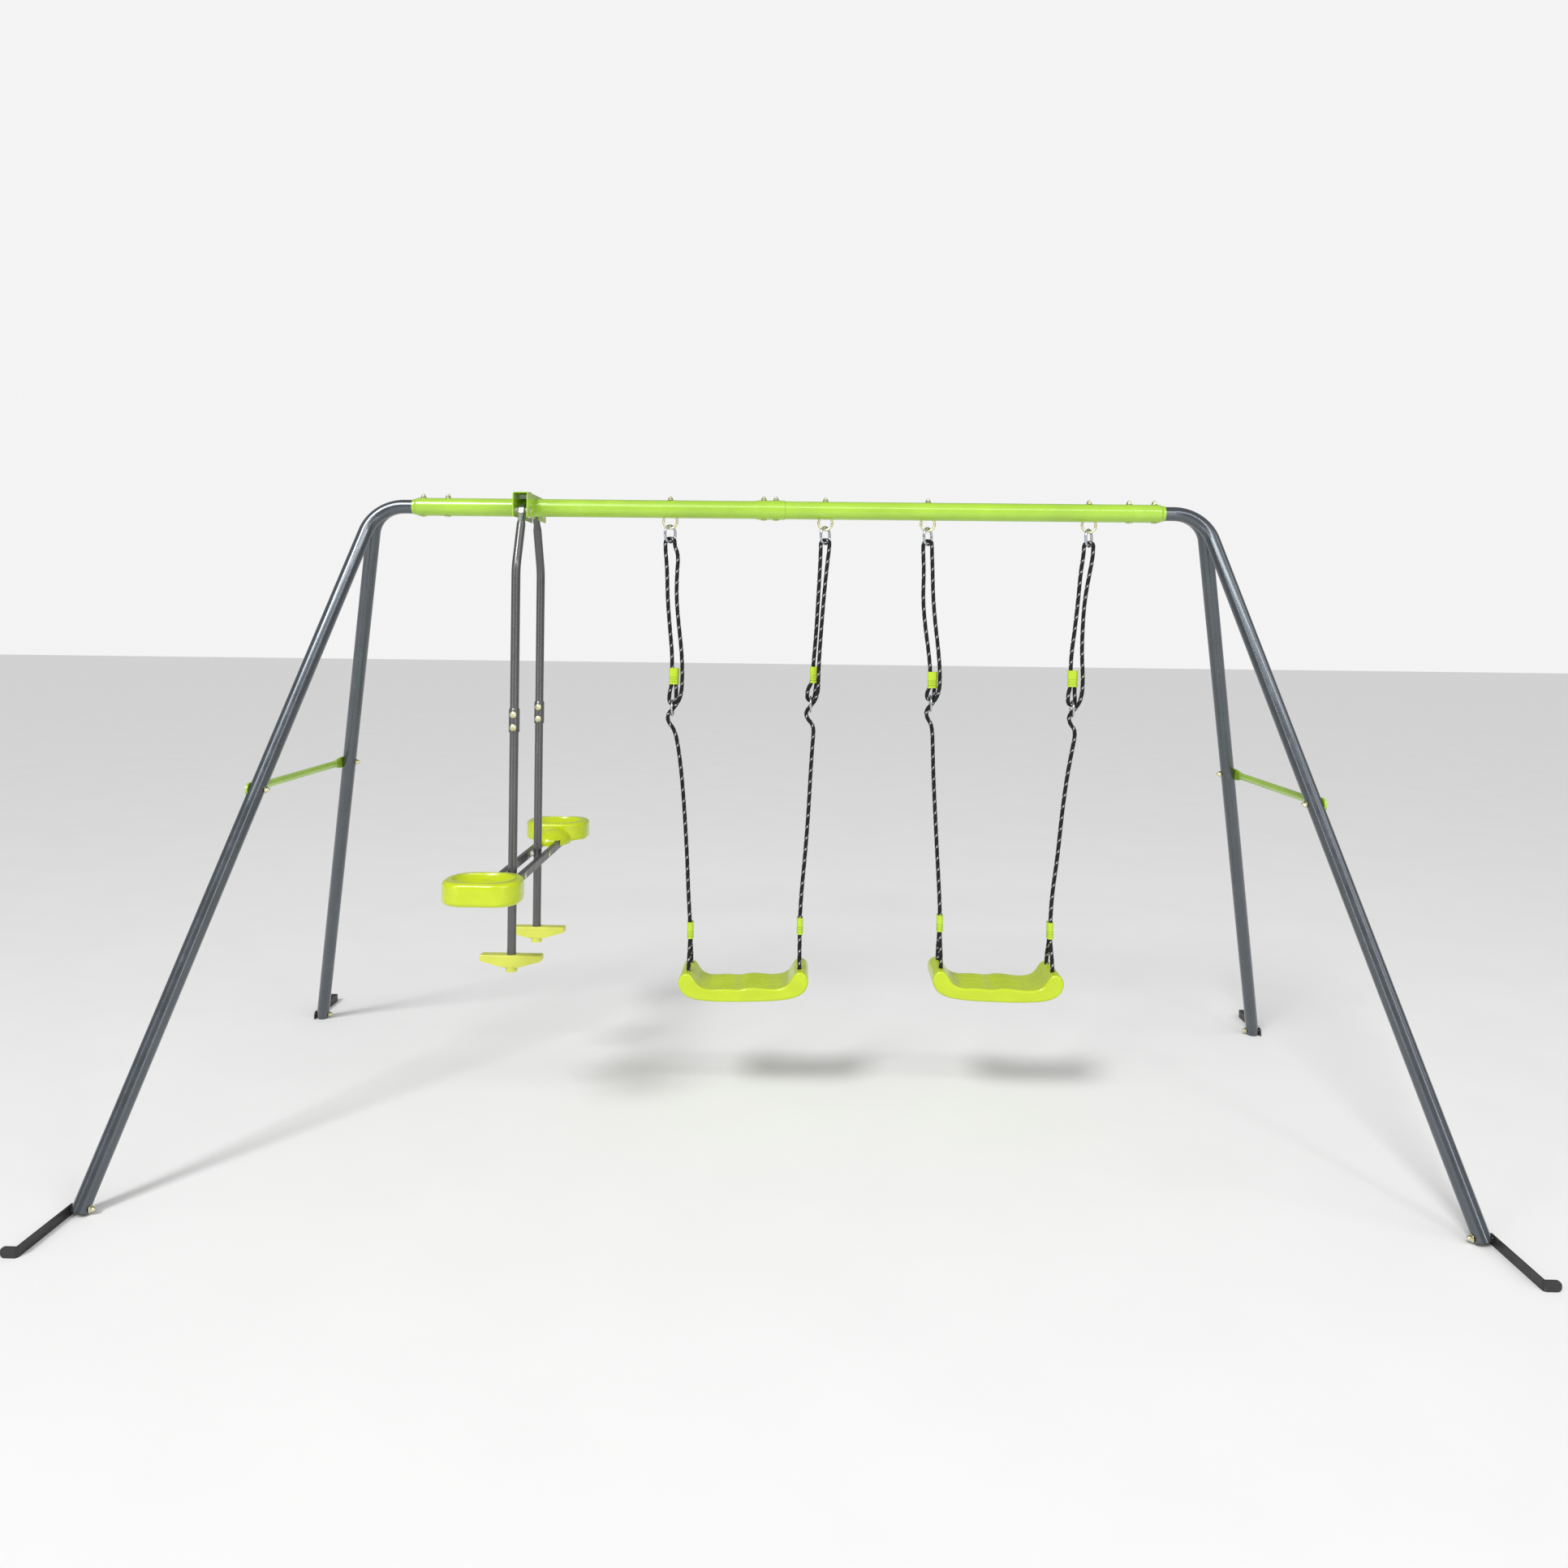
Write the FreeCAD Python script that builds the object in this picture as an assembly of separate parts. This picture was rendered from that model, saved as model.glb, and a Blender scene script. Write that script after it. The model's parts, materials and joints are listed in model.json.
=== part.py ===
"""Children's swing set: an A-frame with a face-to-face glider and two rope swings.

Millimetres, +Z up, +X along the top beam. The origin is on the ground under the middle of the frame.
"""

import FreeCAD, Part
import math
import os
from collections import namedtuple

V = FreeCAD.Vector
X_AXIS, Y_AXIS, Z_AXIS = V(1, 0, 0), V(0, 1, 0), V(0, 0, 1)

# Frame
BEAM_Z = 1800.0  # height of the beam's axis
BEAM_HALF = 1131.0  # from the middle of the frame to each end of the beam
BEAM_WALL = 2.0
JOINT_X = -5.0  # where the left half's wide end stops
JOINT_LEN = 82.0
JOINT_RAMP = 8.0
SLIP = 0.25  # radial room of a tube pushed into another
BEAM_LIP = 14.0  # length of the beam's rolled-in end
LEG_R = 21.0
LEG_WALL = 1.8
BEAM_EASE = 3.75  # how much wider the beam is than the lip that holds the leg
BEAM_R = LEG_R + SLIP + BEAM_WALL + BEAM_EASE
FOOT_X, FOOT_Y = 1686.0, 700.0
ELBOW_X = 1246.0  # where a leg's axis meets the beam's
ELBOW_R = 108.0
SEAM_Z = 950.0  # where the upper and lower leg tubes meet
SPIGOT = 90.0
BAR_Z = 984.0
BAR_R = 11.0
BAR_PAD_T = 6.0  # thickness of the crossbar's flattened ends
BAR_PAD_H = 36.0
BAR_SEAT = 2.0  # how deep a leg sits in the flattened end
BAR_FLAT_REACH, BAR_ROUND_REACH = 23.0, 67.0  # from a leg's axis to the flat's end, and the round bar
ANCHOR_RUN = 190.0  # how far an anchor reaches out from its leg
ANCHOR_H = 26.0
ANCHOR_T = 4.0
ANCHOR_TAB = 40.0
ANCHOR_LAP = 16.8  # how far it lies along the foot
ANCHOR_CORNER, ANCHOR_BEND = 11.7, 8.0
ANCHOR_BOLT_Z = 15.6

# Fasteners
BOLT_R = 4.0
BOLT_HOLE = 0.2  # radial room of a bolt in a plain hole
PIVOT_FIT = 0.05  # radial room of a pivot bolt in its running hole
HEAD_R, HEAD_H = 8.0, 4.0
NUT_AF, NUT_H = 13.0, 6.5
NUT_R = NUT_AF / math.sqrt(3)
DOME_R = 5.5
BEAM_BOLT_XS = (-1101.0, -1026.0, -69.0, -32.0, 1026.0, 1101.0)

# Swings
EYE_R, EYE_WIRE = 20.5, 3.7
EYE_DROP = 37.5  # the eye's centre below the beam's axis
LINK_W, LINK_H, LINK_WIRE = 54.0, 58.0, 3.9
LINK_TURN = 55.0  # angle of a link's plane from the beam
HANG_GAP = 0.4  # room between a link and its eye
ROPE_R = 6.0
SLEEVE_W, SLEEVE_D, SLEEVE_H = 31.0, 19.0, 49.0
SLEEVE_Y = 6.5  # an upper sleeve's place behind the line of the eyes
SLEEVE_BORE = 0.2  # half the width of the web between a sleeve's two bores
GROOVES, GROOVE_LOW, GROOVE_PITCH, GROOVE_W, GROOVE_D = 3, 6.0, 7.0, 3.0, 1.8
RING_R, RING_WIRE = 23.0, 3.0
SEAT_LEN, SEAT_DEPTH = 384.0, 158.0
SEAT_WALL = 5.0
SEAT_RIM, SEAT_EDGE = 6.0, 8.0  # thickness added at the front and back, and the rounding of their edges
SEAT_FLAT = 106.0  # half length of the ribbed sitting face
SEAT_GROOVES, SEAT_PITCH, SEAT_GROOVE_W, SEAT_GROOVE_D = 8, 14.8, 6.0, 2.2
SEAT_WINDOW_Y, SEAT_WINDOW_DROP = 66.0, 20.0  # half depth of the opening in the underside, and its top
SEAT_PROFILE = [  # share of the half length, height, and the way inwards, from the top's middle outwards
    (0.0, 0, 0, -1), (0.3, 0, 0, -1), (0.58, 1, 0, -1), (0.68, 10, 0, -1), (0.76, 31, 0, -1),
    (0.85, 46, 0, -1), (0.93, 44, 0, -0.9), (0.99, 31, -1, -0.5), (1.0, 12, -1, 0), (0.95, -10, -1, 0.3),
    (0.82, -27, -0.6, 1), (0.6, -36, 0, 1), (0.0, -40, 0, 1)]
ROPE_HOLE_Y = 42.0
ROPE_HOLE_GAP = 0.6

# Glider
GLIDER_X = -778.0
BRACKET_W, BRACKET_T, BRACKET_HALF = 45.0, 3.0, 119.0
BRACKET_TOP, BRACKET_SKIRT = 36.0, 36.0  # above and below the beam's axis
BRACKET_CHAMFER = 9.0
TOP_PIVOT_Y, TOP_PIVOT_Z = 85.0, BEAM_Z - 16.0
HANGER_R, HANGER_WALL = 12.7, 1.6
HANGER_Y = 155.0
HANGER_KNEE_Z = TOP_PIVOT_Z - 172.0
HANGER_BEND = 120.0
LUG_T, LUG_W = 14.0, 34.0
LUG_FLAT, LUG_REACH = 16.0, 46.0  # from the pivot to where the flattened end widens, and to the round tube
SWAGE_TOP, SWAGE_BOTTOM = 1200.0, 1136.0
SWAGE_WALL = 2.6
SWAGE_RAMP = 6.0
SWAGE_BOLT_ZS = (1187.0, 1150.0)
RAIL_Z = 722.0
RAIL_W, RAIL_H, RAIL_HALF, RAIL_WALL = 15.0, 26.0, 440.0, 1.6
RAIL_CORNER = 3.0
SPACER_WALL, SPACER_GAP, SPACER_LEN = 4.0, 0.35, 9.0
SPACER_R = BOLT_R + SPACER_WALL
OPEN_PIVOT_ROOM = 4.2  # room round the bolt at the pivot where the linkage is opened
PEG_Z, PEG_HALF, PEG_HUB_R, PEG_HUB_H = 470.0, 90.0, 16.5, 49.0
PEG_DEPTH, PEG_TIP_H = 34.0, 16.0
PEG_FLOOR, PEG_STEP, PEG_CORNER = 4.0, 12.0, 5.0  # closed end of the hub, hub below the wings, wing corners
PEG_FIT = 0.3
GSEAT_W, GSEAT_IN, GSEAT_OUT, GSEAT_H = 206.0, 372.0, 531.0, 62.0
GSEAT_DROP = 4.0  # its lower edge below the rails' middle
GSEAT_OUTER_R, GSEAT_INNER_R, GSEAT_EDGE = 62.0, 74.0, 12.0  # corners far from and near the hangers, rims
GSEAT_SKIRT, GSEAT_POCKET, GSEAT_POCKET_R = 8.0, 26.0, 52.0  # skirt's width, depth and corners of the hollow
DISH = V(84.0, 64.0, 34.0)  # half sizes of the hollow that is sat in
DISH_LIFT = 6.0  # its centre above the rim
NOSE = V(60.0, 78.0, 45.0)  # half sizes of the smooth nose next to the hangers
NOSE_Z = 5.0  # its centre above the seat's lower edge
SCREW_SPOTS = ((-28.0, -6.0), (28.0, -6.0), (0.0, 26.0))  # from the dish's centre
SCREW_R, SCREW_H, SCREW_ROOM = 5.0, 2.0, 0.3
GSEAT_GAP = 0.5  # room between a seat's arches and its rails


def save(name, shape):
    """Write one node and say how large it is."""
    shape.exportStep("parts/%s.step" % name)
    b = shape.BoundBox
    print("%-26s %3d solids %12.0f mm3  %s  z %.1f to %.1f"
          % (name, len(shape.Solids), shape.Volume, shape.isValid(), b.ZMin, b.ZMax))


def cylinder(radius, start, end):
    run = end - start
    return Part.makeCylinder(radius, run.Length, start, run)


def mirrored(shape, normal):
    return shape.mirror(V(0, 0, 0), normal)


def biggest(shape):
    return max(shape.Solids, key=lambda s: s.Volume)


def rounded_path(points, radii):
    """A wire of straight runs joined by tangent arcs, with one radius for each inner point."""
    edges, last = [], points[0]
    for before, corner, after, radius in zip(points, points[1:], points[2:], radii):
        into, out = (before - corner).normalize(), (after - corner).normalize()
        half = into.getAngle(out) / 2
        reach = radius / math.tan(half)
        middle = corner + (into + out).normalize() * (radius / math.sin(half) - radius)
        start, end = corner + into * reach, corner + out * reach
        if (start - last).Length > 0.01:
            edges.append(Part.LineSegment(last, start).toShape())
        edges.append(Part.Arc(start, middle, end).toShape())
        last = end
    edges.append(Part.LineSegment(last, points[-1]).toShape())
    return Part.Wire(edges)


def rod(points, radii, radius):
    """A round solid along straight runs and arcs."""
    path = rounded_path(points, radii)
    ring = Part.Wire(Part.makeCircle(radius, points[0], points[1] - points[0]))
    return path.makePipeShell([ring], True, False)


def dome_nut(at):
    """A hexagon nut with a domed top, standing on a point of an upright bolt."""
    room = 4 * NUT_AF
    angles = [math.radians(60 * i) for i in range(7)]
    corners = [V(NUT_R * math.cos(a), NUT_R * math.sin(a), 0) for a in angles]
    above = Part.makeBox(room, room, room, V(-room / 2, -room / 2, NUT_H / 2))
    dome = Part.makeSphere(DOME_R, V(0, 0, NUT_H)).common(above)
    whole = Part.Face(Part.makePolygon(corners)).extrude(V(0, 0, NUT_H)).fuse(dome)
    whole.translate(at)
    return whole


def bolt(head, axis, grip):
    """A domed bolt whose head seats at a point, with a dome nut after the grip."""
    room = 8 * HEAD_R
    cap_r = (HEAD_R ** 2 + HEAD_H ** 2) / (2 * HEAD_H)
    below = Part.makeBox(room, room, room, V(-room / 2, -room / 2, -room))
    cap = Part.makeSphere(cap_r, V(0, 0, cap_r - HEAD_H)).common(below)
    shank = Part.makeCylinder(BOLT_R, grip + NUT_H)
    whole = cap.fuse([shank, dome_nut(V(0, 0, grip))]).removeSplitter()
    whole.Placement = FreeCAD.Placement(head, FreeCAD.Rotation(Z_AXIS, axis))
    return whole


def ellipsoid(half, centre):
    """A solid with three half sizes."""
    scale = FreeCAD.Matrix()
    scale.scale(half)
    body = Part.makeSphere(1.0).transformGeometry(scale)
    body.translate(centre)
    return body


def bolt_hole(centre, axis, length, room=BOLT_HOLE):
    return cylinder(BOLT_R + room, centre - axis * (length / 2), centre + axis * (length / 2))


# Each rope is one piece. It starts in the lower sleeve, loops down through the seat's wing and back, climbs
# to the adjuster ring, goes through it and up over the link, comes down to the upper sleeve, turns round the
# top of the ring and ends in the upper sleeve. Points are (x, y, z).
ROPES = {
    "swing_1_rope_left": [
        (-276, 6.2, 556), (-276, 6.2, 508), (-276, 22, 476), (-276, 42, 446), (-276, 42, 388),
        (-276, -42, 388), (-276, -42, 446), (-276, -22, 476), (-276, -6.2, 508), (-277, -6.2, 560),
        (-283, -3, 640), (-289, 0, 760), (-299, 2, 900), (-309, 0, 1010), (-320, -3, 1090), (-330, -7, 1135),
        (-351, -9, 1161), (-351, -9, 1183), (-329, -9, 1205), (-311, -9, 1236), (-308, -8, 1295),
        (-311, -6, 1365), (-321, -3, 1445), (-330, 0, 1530), (-329, 0, 1610), (-325, 0, 1660),
        (-337, 0, 1690), (-337, 0, 1711.5), (-365, 0, 1711.5), (-365, 0, 1680), (-359, 0, 1620),
        (-357, 1, 1535), (-350, 3, 1450), (-342, 6, 1370), (-341.2, 6.5, 1320), (-341.2, 6.5, 1272),
        (-349, 7, 1244), (-349, 7, 1212), (-327.5, 7, 1212), (-328, 7, 1244), (-328.8, 6.5, 1272),
        (-328.8, 6.5, 1318)],
    "swing_1_rope_right": [
        (54, 6.2, 574), (54, 6.2, 526), (54, 22, 490), (54, 42, 454), (54, 42, 394),
        (54, -42, 394), (54, -42, 454), (54, -22, 490), (54, -6.2, 526), (54, -6.2, 578),
        (58, -3, 655), (68, 0, 770), (76, 1, 895), (81, 0, 1010), (86, -2, 1100), (90, -7, 1152),
        (66, -9, 1177), (66, -9, 1199), (88, -9, 1221), (101, -13, 1252), (101, -15, 1305),
        (104, -11, 1375), (109, -6, 1455), (115, -3, 1540), (122, 0, 1620), (127, 0, 1666),
        (130, 0, 1692), (130, 0, 1711.5), (104, 0, 1711.5), (104, 0, 1680), (102, 0, 1620),
        (98, 1, 1535), (94, 4, 1450), (89, 6, 1375), (84.5, 6.5, 1322), (84.5, 6.5, 1288),
        (68, 7, 1258), (68, 7, 1228), (89.5, 7, 1228), (93, 7, 1262), (96.9, 6.5, 1288),
        (96.9, 6.5, 1322)],
    "swing_2_rope_left": [
        (474, 6.2, 589), (474, 6.2, 541), (474, 22, 504), (474, 42, 468), (474, 42, 408),
        (474, -42, 408), (474, -42, 468), (474, -22, 504), (474, -6.2, 541), (474, -6.2, 592),
        (471, -3, 665), (464, 0, 775), (457, 2, 895), (450, 0, 1010), (447, -2, 1100), (444, -7, 1158),
        (426, -9, 1184), (426, -9, 1206), (448, -9, 1228), (464, -10, 1258), (466, -11, 1310),
        (460, -8, 1385), (450, -5, 1465), (443, -2, 1545), (441, 0, 1622), (439, 0, 1668),
        (438, 0, 1692), (438, 0, 1711.5), (412, 0, 1711.5), (412, 0, 1680), (415, 0, 1620),
        (413, 1, 1535), (421, 3, 1455), (433, 6, 1375), (438.8, 6.5, 1316), (438.8, 6.5, 1276),
        (429, 7, 1257), (428.5, 7, 1235), (449.5, 7, 1235), (450.5, 7, 1257), (451.2, 6.5, 1276),
        (451.2, 6.5, 1316)],
    "swing_2_rope_right": [
        (804, 6.2, 572), (804, 6.2, 524), (804, 22, 490), (804, 42, 456), (804, 42, 396),
        (804, -42, 396), (804, -42, 456), (804, -22, 490), (804, -6.2, 524), (804, -6.2, 576),
        (809, -3, 655), (825, 0, 770), (836, 1, 890), (849, 0, 1000), (864, -3, 1090), (874, -7, 1147),
        (852, -9, 1173), (852, -9, 1195), (874, -9, 1217), (890, -9, 1248), (893, -8, 1305),
        (889, -6, 1375), (891, -3, 1455), (897, 0, 1540), (911, 0, 1620), (919, 0, 1664),
        (921, 0, 1692), (921, 0, 1711.5), (893, 0, 1711.5), (893, 0, 1680), (884, 0, 1620),
        (878, 1, 1540), (870, 3, 1455), (861, 6, 1380), (859, 6.5, 1327), (859, 6.5, 1279),
        (852, 7, 1254), (852, 7, 1224), (873.5, 7, 1224), (872, 7, 1254), (871.4, 6.5, 1279),
        (871.4, 6.5, 1327)],
}


# One side of one swing. The eye and the seat's hole are at an X, the lower sleeve at a Z, the rest at both.
Hang = namedtuple("Hang", "swing side eye_x hole_x low_sleeve_z high_sleeve ring")
HANGS = [
    Hang(1, "left", -351.0, -276.0, 532.0, (-335.0, 1296.0), (-338.0, 1200.0)),
    Hang(1, "right", 117.0, 54.0, 550.0, (90.7, 1305.0), (79.0, 1216.0)),
    Hang(2, "left", 425.0, 474.0, 565.0, (445.0, 1294.0), (439.0, 1223.0)),
    Hang(2, "right", 907.0, 804.0, 548.0, (865.2, 1303.0), (863.0, 1212.0)),
]
SEATS = {1: (-111.0, 380.0, 1.6), 2: (639.0, 392.0, -1.0)}  # middle, sitting face's height, tilt in degrees
EYE_XS = tuple(h.eye_x for h in HANGS)
EYE_Z = BEAM_Z - EYE_DROP
HINGE_Z = EYE_Z - EYE_R
LINK_Z = HINGE_Z + EYE_WIRE + HANG_GAP + 2 * LINK_WIRE - LINK_H / 2

# ---------------------------------------------------------------- frame

FLAT = math.hypot(FOOT_X - ELBOW_X, FOOT_Y)
FOOT_Z = LEG_R * FLAT / math.hypot(FLAT, BEAM_Z)  # the square-cut end's edge is on the ground
ELBOW = V(ELBOW_X, 0, BEAM_Z)
FOOT = V(FOOT_X, -FOOT_Y, FOOT_Z)  # front right; the other feet mirror it
LEG_RUN = (FOOT - ELBOW).normalize()
LEG_SIDE = LEG_R / math.sqrt(1 - LEG_RUN.x ** 2)  # from a leg's axis to its side, along X


def on_leg(z):
    """The point of the front right leg's axis at a height."""
    return ELBOW + LEG_RUN * ((z - BEAM_Z) / LEG_RUN.z)


def to_corner(shape, side, front):
    """Move a front right piece to another corner: side is 1 right or -1 left."""
    if side < 0:
        shape = mirrored(shape, X_AXIS)
    if not front:
        shape = mirrored(shape, Y_AXIS)
    return shape


def beam_holes():
    tall = 4 * BEAM_R
    cuts = [bolt_hole(V(x, 0, BEAM_Z), Z_AXIS, tall) for x in BEAM_BOLT_XS + (GLIDER_X,)]
    for x in EYE_XS:
        cuts.append(bolt_hole(V(x, 0, BEAM_Z), Z_AXIS, tall))
        cuts.append(Part.makeTorus(EYE_R, EYE_WIRE + HANG_GAP, V(x, 0, EYE_Z), Y_AXIS))
    return cuts


def beam_half(inner_x, outer_x):
    """One half of the beam, with its outer end rolled in over the leg tube."""
    way = 1 if outer_x > inner_x else -1
    lip_r = LEG_R + SLIP + BEAM_WALL
    lip_x = outer_x - way * BEAM_LIP
    cone_x = outer_x - way * BEAM_LIP / 2
    outline = [V(inner_x, 0, BEAM_R), V(lip_x, 0, BEAM_R), V(cone_x, 0, lip_r), V(outer_x, 0, lip_r),
               V(outer_x, 0, LEG_R + SLIP), V(cone_x, 0, LEG_R + SLIP),
               V(lip_x, 0, BEAM_R - BEAM_WALL), V(inner_x, 0, BEAM_R - BEAM_WALL), V(inner_x, 0, BEAM_R)]
    tube = Part.Face(Part.makePolygon(outline)).revolve(V(0, 0, 0), X_AXIS, 360)
    tube.translate(V(0, 0, BEAM_Z))
    return tube


def beam_left():
    start = JOINT_X - JOINT_LEN
    ramp = JOINT_RAMP
    inner, outer = BEAM_R + SLIP, BEAM_R + SLIP + BEAM_WALL
    outline = [V(start - ramp, 0, BEAM_R), V(start, 0, outer), V(JOINT_X, 0, outer),
               V(JOINT_X, 0, inner), V(start, 0, inner), V(start - ramp, 0, BEAM_R - BEAM_WALL),
               V(start - ramp, 0, BEAM_R)]
    socket = Part.Face(Part.makePolygon(outline)).revolve(V(0, 0, 0), X_AXIS, 360)
    socket.translate(V(0, 0, BEAM_Z))
    whole = beam_half(start - ramp, -BEAM_HALF).fuse(socket).removeSplitter()
    return whole.cut(beam_holes())


def beam_right():
    return beam_half(JOINT_X - JOINT_LEN + SLIP, BEAM_HALF).cut(beam_holes())


def leg_top(inside, start_x):
    """The bent outline of an upper leg, out of the beam and down to the seam."""
    radius = LEG_R - LEG_WALL if inside else LEG_R
    return rod([V(start_x, 0, BEAM_Z), ELBOW, on_leg(SEAM_Z)], [ELBOW_R], radius)


def crossbar_hole():
    return bolt_hole(on_leg(BAR_Z), X_AXIS, 6 * LEG_R)


def leg_upper(front):
    """A front leg runs on into the beam; a rear one is coped and welded under its bend."""
    tail = min(x for x in BEAM_BOLT_XS if x > 0) - 4 * BOLT_R
    through = leg_top(False, tail)
    if front:
        cuts = [leg_top(True, tail), crossbar_hole()]
        cuts += [bolt_hole(V(x, 0, BEAM_Z), Z_AXIS, 4 * BEAM_R) for x in BEAM_BOLT_XS if x > JOINT_LEN]
        return through.cut(cuts)
    tube = leg_top(False, BEAM_HALF + BEAM_LIP).cut([mirrored(through, Y_AXIS)])
    return biggest(tube.cut([leg_top(True, BEAM_HALF + BEAM_LIP), crossbar_hole()]))


def leg_lower():
    seam = on_leg(SEAM_Z)
    spigot_r = LEG_R - LEG_WALL - SLIP
    up = seam - LEG_RUN * SPIGOT
    tube = cylinder(LEG_R, seam, FOOT).fuse(cylinder(spigot_r, up, seam)).removeSplitter()
    bore = cylinder(spigot_r - LEG_WALL, up - LEG_RUN, FOOT + LEG_RUN)
    return tube.cut([bore, crossbar_hole(), bolt_hole(anchor_bolt_point(), X_AXIS, 6 * LEG_R)])


def anchor_bolt_point():
    return on_leg(ANCHOR_BOLT_Z)


def anchor():
    """A flat bar on edge that runs out from the foot and ends in a rounded tab bent outwards."""
    face = FOOT_X + LEG_R
    start, end = -FOOT_Y + ANCHOR_LAP, -FOOT_Y - ANCHOR_RUN
    shank = Part.makeBox(ANCHOR_T, start - end, ANCHOR_H, V(face, end, 0))
    back = [e for e in shank.Edges if abs(e.CenterOfMass.y - start) < 0.1
            and abs(e.CenterOfMass.z - ANCHOR_H) < 0.1]
    shank = shank.makeFillet(ANCHOR_CORNER, back)
    tab = Part.makeBox(ANCHOR_TAB, ANCHOR_T, ANCHOR_H, V(face, end, 0))
    tips = [e for e in tab.Edges if abs(e.CenterOfMass.x - face - ANCHOR_TAB) < 0.1
            and abs(e.CenterOfMass.y - end - ANCHOR_T / 2) < 0.1]
    tab = tab.makeFillet(ANCHOR_CORNER, tips)
    whole = shank.fuse(tab).removeSplitter()
    corner = [e for e in whole.Edges if abs(e.CenterOfMass.x - face) < 0.1
              and abs(e.CenterOfMass.y - end) < 0.1 and e.Length > ANCHOR_H * 0.9]
    whole = whole.makeFillet(ANCHOR_BEND, corner)
    return whole.cut(bolt_hole(anchor_bolt_point(), X_AXIS, 6 * LEG_R))


def crossbar():
    """A round bar between the two legs of the right end, flattened where it is bolted on."""
    joint = on_leg(BAR_Z)
    inner = joint.x + LEG_SIDE - BAR_SEAT
    middle = inner + BAR_PAD_T / 2
    y = abs(joint.y)
    flat_y, round_y = y - BAR_FLAT_REACH, y - BAR_ROUND_REACH

    def oblong(at):
        h, t = BAR_PAD_H / 2, BAR_PAD_T / 2
        pts = [V(middle - t, at, -h + t), V(middle + t, at, -h + t), V(middle + t, at, h - t),
               V(middle - t, at, h - t)]
        return Part.Wire([Part.Arc(pts[0], V(middle, at, -h), pts[1]).toShape(),
                          Part.LineSegment(pts[1], pts[2]).toShape(),
                          Part.Arc(pts[2], V(middle, at, h), pts[3]).toShape(),
                          Part.LineSegment(pts[3], pts[0]).toShape()])

    bar = cylinder(BAR_R, V(middle, -round_y, 0), V(middle, round_y, 0))
    pieces = []
    for way in (-1, 1):
        round_end = Part.Wire(Part.makeCircle(BAR_R, V(middle, way * round_y, 0), Y_AXIS))
        pieces.append(Part.makeLoft([round_end, oblong(way * flat_y)], True, False))
        tail = Part.Face(oblong(way * flat_y)).extrude(V(0, way * (y - flat_y), 0))
        tip = Part.makeCylinder(BAR_PAD_H / 2, BAR_PAD_T, V(middle - BAR_PAD_T / 2, way * y, 0), X_AXIS)
        pieces += [tail, tip]
    whole = bar.fuse(pieces).removeSplitter()
    whole.translate(V(0, 0, BAR_Z))
    for front in (True, False):
        leg = to_corner(cylinder(LEG_R, on_leg(BAR_Z + SPIGOT), on_leg(BAR_Z - SPIGOT)), 1, front)
        whole = whole.cut([leg, to_corner(crossbar_hole(), 1, front)])
    return whole


def leg_bolts(at, outer):
    """A level bolt through each leg at a point of its axis, with a nut that clears the slanting tube."""
    grip = outer - at.x + LEG_SIDE + NUT_R * LEG_RUN.x / -LEG_RUN.z + SLIP
    one = bolt(V(outer, at.y, at.z), V(-1, 0, 0), grip)
    return Part.Compound([to_corner(one, side, front) for side in (1, -1) for front in (True, False)])


def crossbar_bolts():
    joint = on_leg(BAR_Z)
    return leg_bolts(joint, joint.x + LEG_SIDE - BAR_SEAT + BAR_PAD_T)


def anchor_bolts():
    return leg_bolts(anchor_bolt_point(), FOOT_X + LEG_R + ANCHOR_T)


def beam_bolts():
    """Upright bolts through the beam, heads below and dome nuts on top."""
    bolts = []
    for x in BEAM_BOLT_XS:
        wide = BEAM_R + (SLIP + BEAM_WALL if JOINT_X - JOINT_LEN < x < JOINT_X else 0)
        bolts.append(bolt(V(x, 0, BEAM_Z - wide), Z_AXIS, 2 * wide))
    return Part.Compound(bolts)


def anchors():
    one = anchor()
    return {"ground_anchor_%s_%s" % (end, side): to_corner(one, way, front)
            for side, way in (("right", 1), ("left", -1))
            for end, front in (("front", True), ("rear", False))}


# ---------------------------------------------------------------- swings

def eyebolt(x):
    """A ring on a shank that goes up through the beam, with its dome nut on top."""
    eye = Part.makeTorus(EYE_R, EYE_WIRE, V(x, 0, EYE_Z), Y_AXIS)
    top = V(x, 0, BEAM_Z + BEAM_R)
    shank = cylinder(BOLT_R, V(x, 0, EYE_Z + EYE_R - EYE_WIRE / 2), top + Z_AXIS * (NUT_H / 2))
    return eye.fuse([shank, dome_nut(top)]).removeSplitter()


def link(x):
    """An oval chain link, turned so that it threads the eye."""
    half_w, half_h = LINK_W / 2 - LINK_WIRE, LINK_H / 2 - LINK_WIRE
    straight = half_h - half_w
    start = V(half_w, 0, 0)
    edges = [Part.LineSegment(start, V(half_w, 0, straight)).toShape(),
             Part.Arc(V(half_w, 0, straight), V(0, 0, half_h), V(-half_w, 0, straight)).toShape(),
             Part.LineSegment(V(-half_w, 0, straight), V(-half_w, 0, -straight)).toShape(),
             Part.Arc(V(-half_w, 0, -straight), V(0, 0, -half_h), V(half_w, 0, -straight)).toShape(),
             Part.LineSegment(V(half_w, 0, -straight), start).toShape()]
    ring = Part.Wire(Part.makeCircle(LINK_WIRE, start, Z_AXIS))
    oval = Part.Wire(edges).makePipeShell([ring], True, False)
    oval.rotate(V(0, 0, 0), Z_AXIS, LINK_TURN)
    oval.translate(V(x, 0, LINK_Z))
    return oval


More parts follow.
